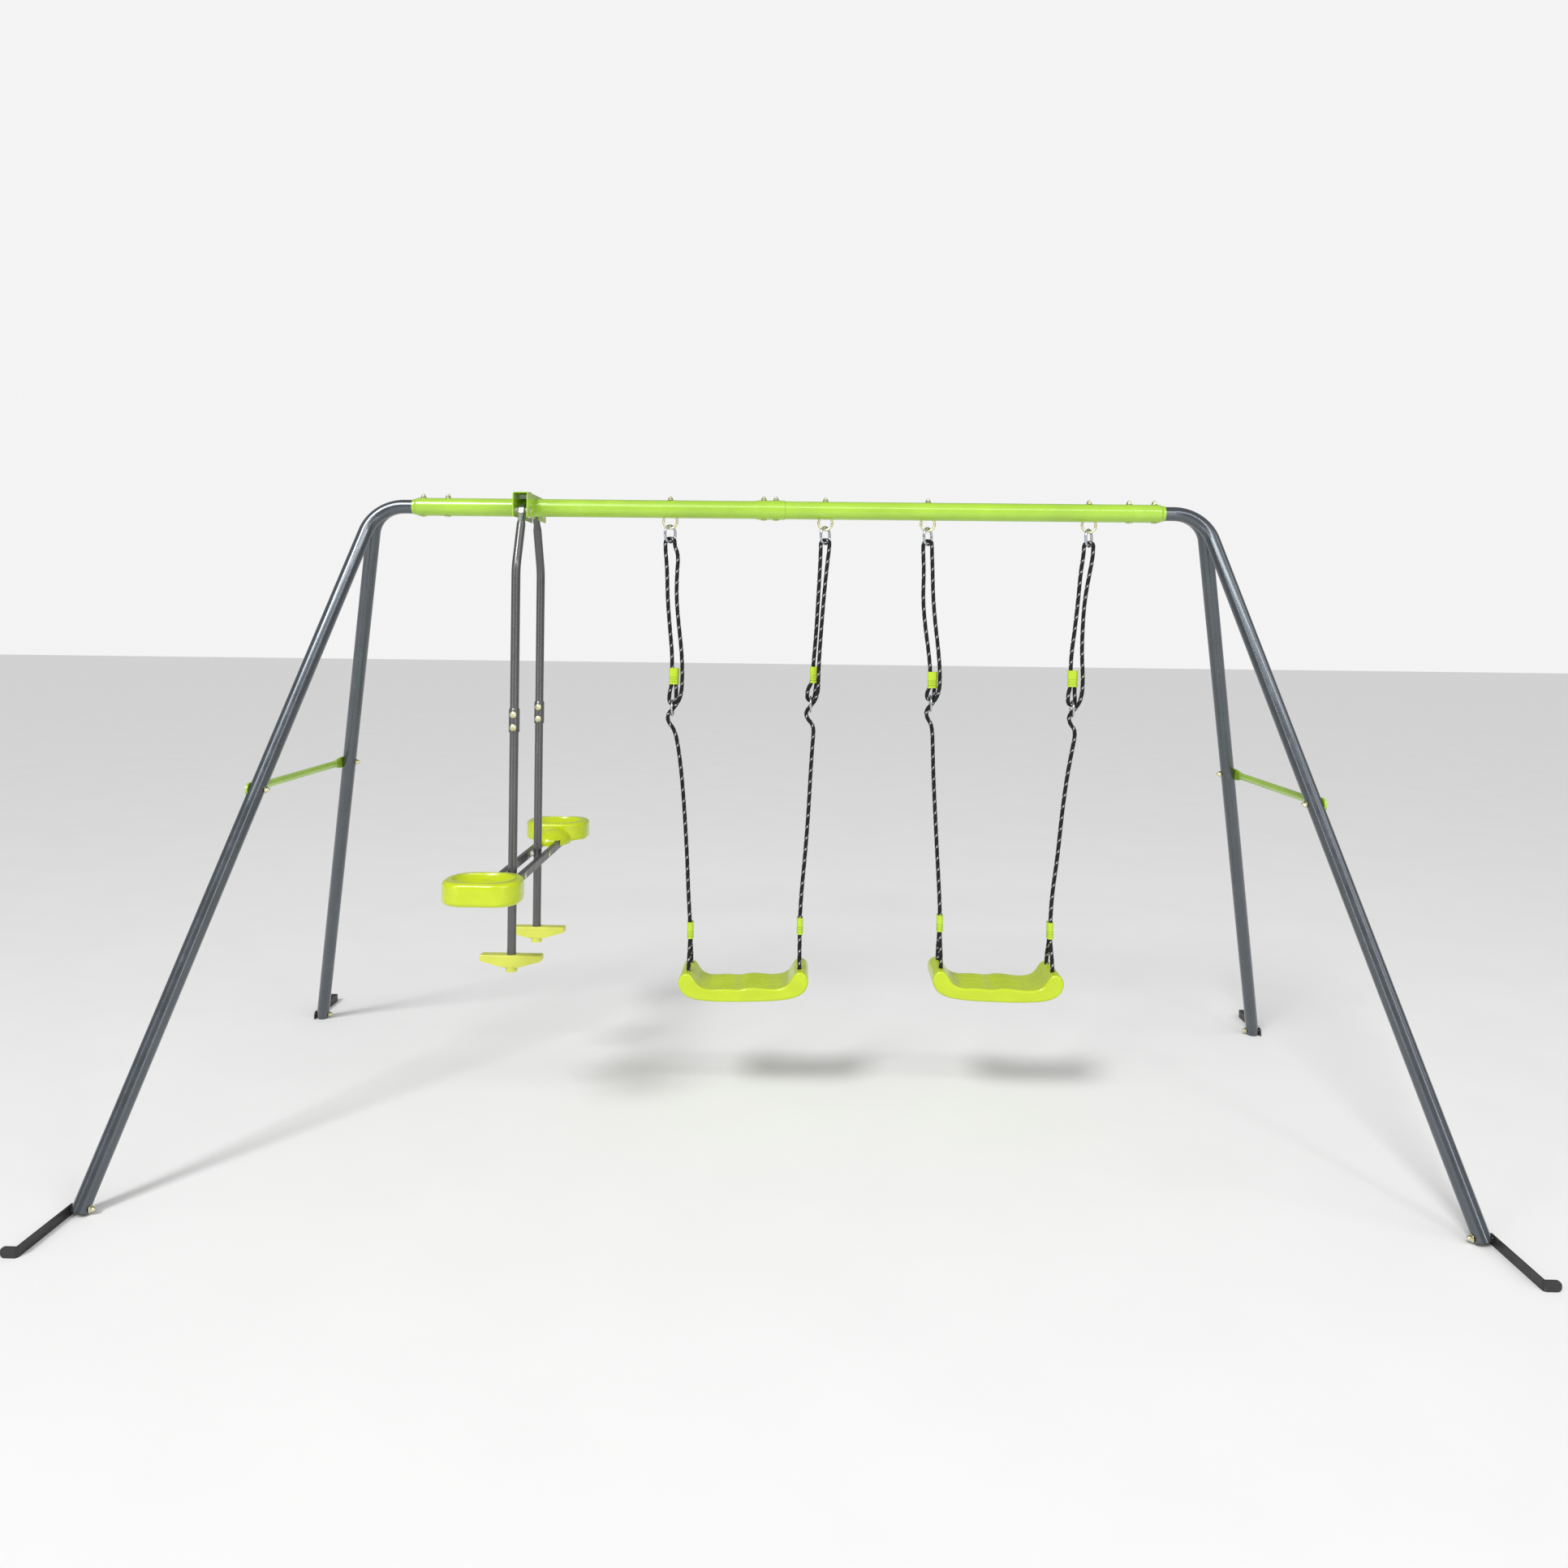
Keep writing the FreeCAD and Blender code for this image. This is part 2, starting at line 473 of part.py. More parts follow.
def rope(name):
    points = [V(*p) for p in ROPES[name]]
    runs = [(b - a).Length for a, b in zip(points, points[1:])]
    radii = []
    for i, (a, b, c) in enumerate(zip(points, points[1:], points[2:])):
        turn = (b - a).getAngle(c - b)
        radii.append(0.45 * min(runs[i], runs[i + 1]) / math.tan(turn / 2))
    shape = rod(points, radii, ROPE_R)
    length = rounded_path(points, radii).Length
    print("%s: %.0f mm long, volume / (section x length) %.4f" % (
        name, length, shape.Volume / (math.pi * ROPE_R ** 2 * length)))
    print("  radii", " ".join("%.0f" % r for r in radii))
    return shape


def sleeve(x, y, z, along_x):
    """A moulded oval ferrule that grips two stretches of rope, with three grooves near its foot."""
    w, d = (SLEEVE_W, SLEEVE_D) if along_x else (SLEEVE_D, SLEEVE_W)
    cut_w, cut_d = w - 2 * GROOVE_D, d - 2 * GROOVE_D
    z_low = z - SLEEVE_H / 2

    def oval(width, depth, low, high):
        r = min(width, depth) / 2
        body = Part.makeBox(width, depth, high - low, V(x - width / 2, y - depth / 2, low))
        upright = [e for e in body.Edges if abs(e.Length - (high - low)) < 0.01
                   and abs(e.tangentAt(e.FirstParameter).z) > 0.99]
        return body.makeFillet(r - 0.05, upright)

    body = oval(w, d, z_low, z_low + SLEEVE_H)
    for i in range(GROOVES):
        low = z_low + GROOVE_LOW + GROOVE_PITCH * i
        band = oval(w + GROOVE_W, d + GROOVE_W, low, low + GROOVE_W)
        body = body.cut(band.cut(oval(cut_w, cut_d, low - 1, low + GROOVE_W + 1)))
    for way in (-1, 1):
        off = ROPE_R + SLEEVE_BORE
        at = V(x + way * off, y, z_low - 1) if along_x else V(x, y + way * off, z_low - 1)
        body = body.cut(Part.makeCylinder(ROPE_R, SLEEVE_H + 2, at))
    return body


def adjuster_ring(hang):
    x, z = hang.ring
    return Part.makeTorus(RING_R, RING_WIRE, V(x, 0, z), X_AXIS)


def seat_prism(inset, depth):
    """The seat's outline, offset inwards and drawn out to a depth."""
    half = [(SEAT_LEN / 2 * share + inset * in_x, z + inset * in_z) for share, z, in_x, in_z in SEAT_PROFILE]
    whole = half + [(-x, z) for x, z in reversed(half[1:-1])]
    spline = Part.BSplineCurve()
    spline.interpolate([V(x, -depth / 2, z) for x, z in whole], PeriodicFlag=True)
    return Part.Face(Part.Wire(spline.toShape())).extrude(V(0, depth, 0))


def swing_seat(number):
    """A moulded seat with raised wings, a ribbed sitting face and a hollow underside."""
    x, z, tilt = SEATS[number]
    body = seat_prism(0, SEAT_DEPTH)
    body = body.makeFillet(SEAT_EDGE, [e for e in body.Edges if abs(e.BoundBox.YLength) < 0.1])
    hollow = seat_prism(SEAT_WALL, SEAT_DEPTH - 2 * SEAT_WALL - SEAT_RIM)
    window = Part.makeBox(2 * SEAT_FLAT, 2 * SEAT_WINDOW_Y, SEAT_DEPTH,
                          V(-SEAT_FLAT, -SEAT_WINDOW_Y, -SEAT_DEPTH - SEAT_WINDOW_DROP))
    body = body.cut(hollow).cut(window)
    for i in range(SEAT_GROOVES):
        y = (i - (SEAT_GROOVES - 1) / 2) * SEAT_PITCH - SEAT_GROOVE_W / 2
        corner = V(-SEAT_FLAT, y, -SEAT_GROOVE_D)
        body = body.cut(Part.makeBox(2 * SEAT_FLAT, SEAT_GROOVE_W, SEAT_DEPTH, corner))
    body.rotate(V(0, 0, 0), Y_AXIS, -tilt)
    body.translate(V(x, 0, z))
    for hang in [h for h in HANGS if h.swing == number]:
        for y in (-ROPE_HOLE_Y, ROPE_HOLE_Y):
            at = V(hang.hole_x, y, z)
            body = body.cut(cylinder(ROPE_R + ROPE_HOLE_GAP, at, at + Z_AXIS * SEAT_DEPTH))
    return biggest(body)


# ---------------------------------------------------------------- glider

def bracket():
    """A channel turned over and notched to sit on the beam, which carries both hanger pivots."""
    top, low = BEAM_Z + BRACKET_TOP, BEAM_Z - BRACKET_SKIRT
    corner = V(GLIDER_X - BRACKET_W / 2, -BRACKET_HALF, low)
    outer = Part.makeBox(BRACKET_W, 2 * BRACKET_HALF, top - low, corner)
    chamfered = [e for e in outer.Edges if abs(e.CenterOfMass.z - top) < 0.1 and abs(e.BoundBox.XLength) > 1]
    outer = outer.makeChamfer(BRACKET_CHAMFER, chamfered)
    inner_w = BRACKET_W - 2 * BRACKET_T
    room = Part.makeBox(inner_w, 2 * BRACKET_HALF + 2, top - low,
                        V(GLIDER_X - inner_w / 2, -BRACKET_HALF - 1, low - BRACKET_T))
    end = V(BRACKET_W, 0, 0)
    saddle = cylinder(BEAM_R + SLIP, V(GLIDER_X, 0, BEAM_Z) - end, V(GLIDER_X, 0, BEAM_Z) + end)
    notch_r = BEAM_R + SLIP
    notch = Part.makeBox(2 * BRACKET_W, 2 * notch_r, BRACKET_SKIRT + 1,
                         V(GLIDER_X - BRACKET_W, -notch_r, low - 1))
    whole = outer.cut([room, saddle, notch, bolt_hole(V(GLIDER_X, 0, top), Z_AXIS, 4 * BRACKET_T)])
    for y in (-TOP_PIVOT_Y, TOP_PIVOT_Y):
        whole = whole.cut(bolt_hole(V(GLIDER_X, y, TOP_PIVOT_Z), X_AXIS, 2 * BRACKET_W))
    return whole


def bracket_bolts():
    """The bolt that holds the bracket on the beam and the two pivot bolts that the hangers turn on."""
    top = BEAM_Z + BRACKET_TOP
    pieces = [bolt(V(GLIDER_X, 0, BEAM_Z - BEAM_R), Z_AXIS, top - BEAM_Z + BEAM_R)]
    for y in (-TOP_PIVOT_Y, TOP_PIVOT_Y):
        pieces.append(bolt(V(GLIDER_X + BRACKET_W / 2, y, TOP_PIVOT_Z), V(-1, 0, 0), BRACKET_W))
    return Part.Compound(pieces)


def hanger_upper():
    """The front hanger's upper tube: a flattened eye, a slanting stretch, a bend and a wide lower end."""
    pivot = V(GLIDER_X, -TOP_PIVOT_Y, TOP_PIVOT_Z)
    knee = V(GLIDER_X, -HANGER_Y, HANGER_KNEE_Z)
    down = (knee - pivot).normalize()
    start = pivot + down * LUG_REACH
    foot = V(GLIDER_X, -HANGER_Y, SWAGE_BOTTOM)
    tube = rod([start, knee, foot], [HANGER_BEND], HANGER_R)
    swage_r = HANGER_R + SLIP + SWAGE_WALL
    swage = cylinder(swage_r, V(foot.x, foot.y, SWAGE_TOP), foot)
    ramp_top = V(foot.x, foot.y, SWAGE_TOP + SWAGE_RAMP)
    ramp = Part.makeCone(HANGER_R, swage_r, SWAGE_RAMP, ramp_top, V(0, 0, -1))
    socket = cylinder(HANGER_R + SLIP, V(foot.x, foot.y, SWAGE_TOP), foot + V(0, 0, -1))
    bore = rod([start + down * LUG_FLAT, knee, foot], [HANGER_BEND], HANGER_R - HANGER_WALL)
    tube = tube.fuse([swage, ramp]).cut([socket, bore])

    cheek = Part.makeBox(LUG_T, LUG_W, LUG_FLAT, V(-LUG_T / 2, -LUG_W / 2, -LUG_FLAT))
    lug = Part.makeCylinder(LUG_W / 2, LUG_T, V(-LUG_T / 2, 0, 0), X_AXIS).fuse(cheek)
    ways = ((-1, -1), (1, -1), (1, 1), (-1, 1), (-1, -1))
    corners = [V(x * LUG_T / 2, y * LUG_W / 2, -LUG_FLAT) for x, y in ways]
    ring = Part.Wire(Part.makeCircle(HANGER_R, V(0, 0, -LUG_REACH), Z_AXIS))
    lug = lug.fuse(Part.makeLoft([Part.makePolygon(corners), ring], True, False)).removeSplitter()
    lug = lug.cut(bolt_hole(V(0, 0, 0), X_AXIS, 4 * LUG_T, PIVOT_FIT))
    lug.Placement = FreeCAD.Placement(pivot, FreeCAD.Rotation(V(0, 0, -1), down))
    whole = tube.fuse(lug)
    for z in SWAGE_BOLT_ZS:
        whole = whole.cut(bolt_hole(V(GLIDER_X, -HANGER_Y, z), Y_AXIS, 6 * HANGER_R))
    return biggest(whole)


def hanger_lower(front):
    """A hanger's lower tube, pushed up into the swage, with the hole that the rails' bolt goes through."""
    way = -1 if front else 1
    low = V(GLIDER_X, way * HANGER_Y, PEG_Z - PEG_HUB_H / 2 + PEG_FLOOR)
    high = V(GLIDER_X, way * HANGER_Y, SWAGE_TOP)
    tube = cylinder(HANGER_R, low, high).cut(cylinder(HANGER_R - HANGER_WALL, low - Z_AXIS, high + Z_AXIS))
    room = PIVOT_FIT if front else OPEN_PIVOT_ROOM
    cuts = [bolt_hole(V(GLIDER_X, way * HANGER_Y, RAIL_Z), X_AXIS, 4 * HANGER_R, room)]
    cuts += [bolt_hole(V(GLIDER_X, way * HANGER_Y, z), Y_AXIS, 4 * HANGER_R) for z in SWAGE_BOLT_ZS]
    return tube.cut(cuts)


def swage_bolts(front):
    way = -1 if front else 1
    wide = HANGER_R + SLIP + SWAGE_WALL
    at = V(GLIDER_X, way * HANGER_Y - wide, 0)
    return Part.Compound([bolt(at + Z_AXIS * z, Y_AXIS, 2 * wide) for z in SWAGE_BOLT_ZS])


def foot_peg(front):
    """A cross peg whose wings taper from the hub to their tips."""
    way = -1 if front else 1
    at = V(GLIDER_X, way * HANGER_Y, PEG_Z)
    top, low = PEG_HUB_H / 2, -PEG_HUB_H / 2
    outline = [V(-PEG_HALF, 0, top), V(PEG_HALF, 0, top), V(PEG_HALF, 0, top - PEG_TIP_H),
               V(PEG_HUB_R, 0, low + PEG_STEP), V(-PEG_HUB_R, 0, low + PEG_STEP),
               V(-PEG_HALF, 0, top - PEG_TIP_H),
               V(-PEG_HALF, 0, top)]
    wings = Part.Face(Part.makePolygon(outline)).extrude(V(0, PEG_DEPTH, 0))
    wings.translate(V(0, -PEG_DEPTH / 2, 0))
    rims = [e for e in wings.Edges if e.Length > PEG_HUB_R / 2 and abs(e.CenterOfMass.z) > PEG_CORNER / 2]
    wings = wings.makeFillet(PEG_CORNER, rims)
    hub = Part.makeCylinder(PEG_HUB_R, PEG_HUB_H, V(0, 0, low))
    whole = wings.fuse(hub)
    whole.translate(at)
    bore = Part.makeCylinder(HANGER_R + PEG_FIT, PEG_HUB_H, at + V(0, 0, low + PEG_FLOOR - PEG_FIT))
    return whole.cut(bore)


def rail(way):
    """One of the two rails that carry the seats; way is 1 for the right one and -1 for the left."""
    inner = GLIDER_X + way * (HANGER_R + SPACER_GAP + SPACER_LEN)
    x = min(inner, inner + way * RAIL_W)
    body = Part.makeBox(RAIL_W, 2 * RAIL_HALF, RAIL_H, V(x, -RAIL_HALF, RAIL_Z - RAIL_H / 2))
    body = body.makeFillet(RAIL_CORNER, [e for e in body.Edges if e.Length > 2 * RAIL_HALF - 1])
    t = RAIL_WALL
    bore = Part.makeBox(RAIL_W - 2 * t, 2 * RAIL_HALF + 2, RAIL_H - 2 * t,
                        V(x + t, -RAIL_HALF - 1, RAIL_Z - RAIL_H / 2 + t))
    holes = [bolt_hole(V(GLIDER_X, y, RAIL_Z), X_AXIS, GSEAT_W) for y in (-HANGER_Y, HANGER_Y)]
    return body.cut([bore] + holes)


def rail_bolts():
    half = HANGER_R + SPACER_GAP + SPACER_LEN + RAIL_W
    return Part.Compound([bolt(V(GLIDER_X + half, y, RAIL_Z), V(-1, 0, 0), 2 * half)
                          for y in (-HANGER_Y, HANGER_Y)])


def spacers(y, z, start_x, length):
    """Four plain spacers, one each side of both hangers."""
    pieces = []
    for at_y in (-y, y):
        for way in (-1, 1):
            start = V(GLIDER_X + way * start_x, at_y, z)
            end = start + V(way * length, 0, 0)
            tube = cylinder(SPACER_R, start, end)
            pieces.append(tube.cut(cylinder(BOLT_R + BOLT_HOLE, start, end)))
    return Part.Compound(pieces)


def bracket_spacers():
    start = LUG_T / 2 + SPACER_GAP
    return spacers(TOP_PIVOT_Y, TOP_PIVOT_Z, start, BRACKET_W / 2 - BRACKET_T - start)


def rail_spacers():
    return spacers(HANGER_Y, RAIL_Z, HANGER_R + SPACER_GAP, SPACER_LEN)


def screw_floors():
    """Where the front seat's screws sit: a pocket's floor just under the dish at each spot."""
    mid_y, rim = -(GSEAT_IN + GSEAT_OUT) / 2, RAIL_Z - GSEAT_DROP + GSEAT_H
    floors = []
    for x, y in SCREW_SPOTS:
        depth = DISH.z * math.sqrt(1 - (x / DISH.x) ** 2 - (y / DISH.y) ** 2)
        floors.append(V(GLIDER_X + x, mid_y + y, rim + DISH_LIFT - depth - SCREW_H))
    return floors


def glider_seat():
    """The front moulded saddle: a dished pan that runs into a smooth nose over the rails."""
    length = GSEAT_OUT - GSEAT_IN
    body = Part.makeBox(GSEAT_W, length, GSEAT_H, V(-GSEAT_W / 2, -length / 2, 0))
    upright = [e for e in body.Edges if abs(e.BoundBox.ZLength - GSEAT_H) < 0.01]
    body = body.makeFillet(GSEAT_OUTER_R, [e for e in upright if e.CenterOfMass.y < 0])
    inner = [e for e in body.Edges if abs(e.Length - GSEAT_H) < 0.01 and e.CenterOfMass.y > length * 0.4]
    body = body.makeFillet(GSEAT_INNER_R, inner)
    body = body.makeFillet(GSEAT_EDGE, [e for e in body.Edges if abs(e.BoundBox.ZLength) < 0.1])
    body = body.cut(ellipsoid(DISH, V(0, 0, GSEAT_H + DISH_LIFT)))
    above = Part.makeBox(GSEAT_W, 4 * NOSE.y, GSEAT_H, V(-GSEAT_W / 2, length / 2 - 2 * NOSE.y, 0))
    body = body.fuse(ellipsoid(NOSE, V(0, length / 2, NOSE_Z)).common(above))
    under = GSEAT_W / 2 - GSEAT_SKIRT
    pocket = Part.makeBox(2 * under, length - 2 * GSEAT_SKIRT, GSEAT_POCKET,
                          V(-under, GSEAT_SKIRT - length / 2, 0))
    corners = [e for e in pocket.Edges if abs(e.Length - GSEAT_POCKET) < 0.01]
    body = body.cut(pocket.makeFillet(GSEAT_POCKET_R, corners))
    body.translate(V(GLIDER_X, -(GSEAT_IN + GSEAT_OUT) / 2, RAIL_Z - GSEAT_DROP))
    slot_w, slot_y = RAIL_W + 2 * GSEAT_GAP, RAIL_HALF + GSEAT_GAP
    inner_x = HANGER_R + SPACER_GAP + SPACER_LEN - GSEAT_GAP
    for x in (inner_x, -inner_x - slot_w):
        corner = V(GLIDER_X + x, -slot_y, RAIL_Z - RAIL_H / 2 + GSEAT_GAP)
        body = body.cut(Part.makeBox(slot_w, 2 * slot_y, RAIL_H, corner))
    for floor in screw_floors():
        body = body.cut(Part.makeCylinder(SCREW_R + SCREW_ROOM, GSEAT_H, floor))
    return biggest(body)


def seat_screws():
    """Three screws down into each glider seat."""
    front = [Part.makeCylinder(SCREW_R, SCREW_H, floor) for floor in screw_floors()]
    return Part.Compound(front + [mirrored(screw, Y_AXIS) for screw in front])


# ---------------------------------------------------------------- build

def build():
    """All nodes by name."""
    nodes = {"beam_left": beam_left(), "beam_right": beam_right(), "beam_bolts": beam_bolts()}
    uppers = {True: leg_upper(True), False: leg_upper(False)}
    lower, bar = leg_lower(), crossbar()
    for side, way in (("left", -1), ("right", 1)):
        for end, front in (("front", True), ("rear", False)):
            nodes["leg_upper_%s_%s" % (end, side)] = to_corner(uppers[front], way, front)
            nodes["leg_lower_%s_%s" % (end, side)] = to_corner(lower, way, front)
        nodes["crossbar_%s" % side] = to_corner(bar, way, True)
    nodes.update(anchors())
    nodes["crossbar_bolts"], nodes["anchor_bolts"] = crossbar_bolts(), anchor_bolts()
    for hang in HANGS:
        tag = "swing_%d_%%s_%s" % (hang.swing, hang.side)
        nodes["eyebolt_%d_%s" % (hang.swing, hang.side)] = eyebolt(hang.eye_x)
        nodes[tag % "link"] = link(hang.eye_x)
        nodes[tag % "rope"] = rope(tag % "rope")
    for number in SEATS:
        pair = [h for h in HANGS if h.swing == number]
        tag = "swing_%d_" % number
        nodes[tag + "upper_sleeves"] = Part.Compound(
            [sleeve(h.high_sleeve[0], SLEEVE_Y, h.high_sleeve[1], True) for h in pair])
        nodes[tag + "lower_sleeves"] = Part.Compound(
            [sleeve(h.hole_x, 0, h.low_sleeve_z, False) for h in pair])
        nodes[tag + "adjuster_rings"] = Part.Compound([adjuster_ring(h) for h in pair])
        nodes[tag + "seat"] = swing_seat(number)
    nodes["glider_bracket"], nodes["glider_bracket_bolts"] = bracket(), bracket_bolts()
    upper, seat = hanger_upper(), glider_seat()
    for end, front in (("front", True), ("rear", False)):
        nodes["glider_hanger_upper_%s" % end] = to_corner(upper, 1, front)
        nodes["glider_hanger_lower_%s" % end] = hanger_lower(front)
        nodes["glider_swage_bolts_%s" % end] = swage_bolts(front)
        nodes["glider_foot_peg_%s" % end] = foot_peg(front)
        nodes["glider_seat_%s" % end] = to_corner(seat, 1, front)
    nodes["glider_rail_left"], nodes["glider_rail_right"] = rail(-1), rail(1)
    nodes["glider_rail_bolts"], nodes["glider_rail_spacers"] = rail_bolts(), rail_spacers()
    nodes["glider_bracket_spacers"], nodes["glider_seat_screws"] = bracket_spacers(), seat_screws()
    return nodes


os.makedirs("parts", exist_ok=True)
for node, solid in build().items():
    save(node, solid)
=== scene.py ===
"""Looks of a children's swing set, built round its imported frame.

Metres, in the frame's own axes: +X along the top beam, +Y to the rear, +Z up.
"""

import json
import logging
import math
from dataclasses import dataclass
from enum import Enum

import bmesh
import bpy
import numpy as np
from mathutils import Matrix, Vector


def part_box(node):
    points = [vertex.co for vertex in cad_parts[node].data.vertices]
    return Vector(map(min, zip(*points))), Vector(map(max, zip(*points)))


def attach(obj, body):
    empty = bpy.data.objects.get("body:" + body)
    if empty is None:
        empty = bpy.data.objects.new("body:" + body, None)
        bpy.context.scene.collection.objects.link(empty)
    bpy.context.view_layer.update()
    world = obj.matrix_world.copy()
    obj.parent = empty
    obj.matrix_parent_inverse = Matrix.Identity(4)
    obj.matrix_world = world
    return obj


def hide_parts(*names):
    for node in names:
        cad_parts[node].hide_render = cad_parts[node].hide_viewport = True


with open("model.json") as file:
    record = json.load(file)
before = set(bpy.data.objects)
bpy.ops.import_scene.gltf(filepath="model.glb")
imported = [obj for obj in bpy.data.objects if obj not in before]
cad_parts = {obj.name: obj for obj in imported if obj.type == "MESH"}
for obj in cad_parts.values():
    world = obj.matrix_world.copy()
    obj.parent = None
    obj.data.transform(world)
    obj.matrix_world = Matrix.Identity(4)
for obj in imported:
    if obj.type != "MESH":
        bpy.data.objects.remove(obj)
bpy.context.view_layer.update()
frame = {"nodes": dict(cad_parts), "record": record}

log = logging.getLogger("swing_set")
logging.basicConfig(level=logging.INFO, format="%(name)s: %(message)s")

Point = tuple[float, float, float]
Colour = tuple[float, float, float]


# ---------------------------------------------------------------- finishes


def linear(colour: Colour) -> tuple[float, float, float, float]:
    """Turn an sRGB colour into the renderer's linear one."""
    return (*(c / 12.92 if c < 0.04045 else ((c + 0.055) / 1.055) ** 2.4 for c in colour), 1.0)


class Recipe:
    """A material's node tree while it is put together."""

    def __init__(self, name: str) -> None:
        """Start an empty surface.

        Args:
            name: The material's name.
        """
        self.material = bpy.data.materials.new(name)
        self.material.use_nodes = True
        self.tree = self.material.node_tree
        self.shader = self.tree.nodes["Principled BSDF"]
        self.place = self.tree.nodes.new("ShaderNodeTexCoord").outputs["Object"]

    def node(self, kind: str, **inputs: object) -> bpy.types.Node:
        """Add a node and set or link its inputs.

        Args:
            kind: The node's type without its ShaderNode prefix.
            **inputs: Values or sockets, by input name with underscores for spaces.

        Returns:
            The new node.
        """
        made = self.tree.nodes.new("ShaderNode" + kind)
        for key, value in inputs.items():
            socket = made.inputs[key.replace("_", " ")]
            if isinstance(value, bpy.types.NodeSocket):
                self.tree.links.new(value, socket)
            else:
                socket.default_value = value
        return made

    def noise(self, scale: float, detail: float = 3.0,
              stretch: Point = (1.0, 1.0, 1.0)) -> bpy.types.NodeSocket:
        """A noise pattern on the piece's own coordinates.

        Args:
            scale: Spots per metre.
            detail: Octaves.
            stretch: Scale along each axis before the pattern is laid.

        Returns:
            The pattern's value socket.
        """
        laid = self.node("Mapping", Vector=self.place, Scale=stretch)
        return self.node("TexNoise", Vector=laid.outputs[0], Scale=scale, Detail=detail).outputs["Fac"]

    def ramp(self, value: bpy.types.NodeSocket, low: float, high: float,
             start: float = 0.0, end: float = 1.0) -> bpy.types.NodeSocket:
        """Stretch the range low to high of a value over start to end."""
        made = self.node("MapRange", Value=value, From_Min=low, From_Max=high, To_Min=start, To_Max=end)
        return made.outputs["Result"]

    def mix(self, amount: bpy.types.NodeSocket, first: object, second: object) -> bpy.types.NodeSocket:
        """Blend two colours by an amount."""
        made = self.tree.nodes.new("ShaderNodeMix")
        made.data_type = "RGBA"
        self.tree.links.new(amount, made.inputs[0])
        for socket, value in ((made.inputs[6], first), (made.inputs[7], second)):
            if isinstance(value, bpy.types.NodeSocket):
                self.tree.links.new(value, socket)
            else:
                socket.default_value = value
        return made.outputs[2]

    def bump(self, height: bpy.types.NodeSocket, distance: float, strength: float = 1.0,
             under: bpy.types.NodeSocket | None = None) -> bpy.types.NodeSocket:
        """Relief of a given depth in metres, laid over another when one is given."""
        made = self.node("Bump", Height=height, Distance=distance, Strength=strength)
        if under is not None:
            self.tree.links.new(under, made.inputs["Normal"])
        return made.outputs["Normal"]

    def finish(self, **inputs: object) -> bpy.types.Material:
        """Set the shader's inputs and return the material."""
        for key, value in inputs.items():
            socket = self.shader.inputs[key.replace("_", " ")]
            if isinstance(value, bpy.types.NodeSocket):
                self.tree.links.new(value, socket)
            else:
                socket.default_value = value
        return self.material


def shaded(colour: Colour, factor: float) -> Colour:
    """The colour made lighter or darker by a factor."""
    return tuple(min(1.0, c * factor) for c in colour)


@dataclass(frozen=True)
class PowderCoat:
    """Baked powder paint: a fine orange peel, faint clouding and rubbed spots."""

    name: str
    colour: Colour
    roughness: float = 0.32
    coat: float = 0.35
    rub: float = 0.12
    metal: float = 0.0
    varnish: float = 0.07

    def material(self) -> bpy.types.Material:
        """Build the finish."""
        r = Recipe(self.name)
        cloud = r.ramp(r.noise(9.0, 4.0), 0.35, 0.65)
        base = r.mix(cloud, linear(shaded(self.colour, 0.97)), linear(shaded(self.colour, 1.03)))
        scuff = r.ramp(r.noise(60.0, 6.0, (1.0, 1.0, 0.25)), 0.66, 0.74, 0.0, self.rub)
        tone = r.mix(scuff, base, linear((0.75, 0.76, 0.76)))
        peel = r.bump(r.noise(1400.0, 2.0), 0.00012, 0.35)
        gloss = r.ramp(r.noise(25.0, 3.0), 0.3, 0.7, self.roughness - 0.05, self.roughness + 0.08)
        return r.finish(Base_Color=tone, Roughness=gloss, Normal=peel, Coat_Weight=self.coat,
                        Coat_Roughness=self.varnish, Metallic=self.metal)


@dataclass(frozen=True)
class Plated:
    """Zinc or chromate plate: a metal with fine drawing marks and a faint tint."""

    name: str
    colour: Colour
    tint: Colour
    roughness: float = 0.3

    def material(self) -> bpy.types.Material:
        """Build the finish."""
        r = Recipe(self.name)
        patch = r.ramp(r.noise(140.0, 4.0), 0.38, 0.62)
        tone = r.mix(patch, linear(self.colour), linear(self.tint))
        lines = r.noise(700.0, 3.0, (1.0, 1.0, 6.0))
        relief = r.bump(lines, 0.00008, 0.4)
        gloss = r.ramp(lines, 0.3, 0.7, self.roughness - 0.08, self.roughness + 0.12)
        return r.finish(Base_Color=tone, Roughness=gloss, Normal=relief, Metallic=1.0)


@dataclass(frozen=True)
class Moulded:
    """Injection-moulded plastic: a satin grain, soft light inside and faint flow marks."""

    name: str
    colour: Colour
    roughness: float = 0.34
    glow: float = 0.12
    grain: float = 0.18

    def material(self) -> bpy.types.Material:
        """Build the finish."""
        r = Recipe(self.name)
        flow = r.ramp(r.noise(14.0, 3.0, (1.0, 2.5, 2.0)), 0.35, 0.65)
        tone = r.mix(flow, linear(shaded(self.colour, 0.98)), linear(shaded(self.colour, 1.015)))
        grain = r.bump(r.noise(1900.0, 2.0), 0.0001, self.grain)
        gloss = r.ramp(r.noise(70.0, 4.0), 0.3, 0.7, self.roughness - 0.04, self.roughness + 0.05)
        return r.finish(Base_Color=tone, Roughness=gloss, Normal=grain, Subsurface_Weight=self.glow,
                        Subsurface_Radius=(0.004, 0.004, 0.001), Subsurface_Scale=1.0,
                        Coat_Weight=0.4, Coat_Roughness=0.12)


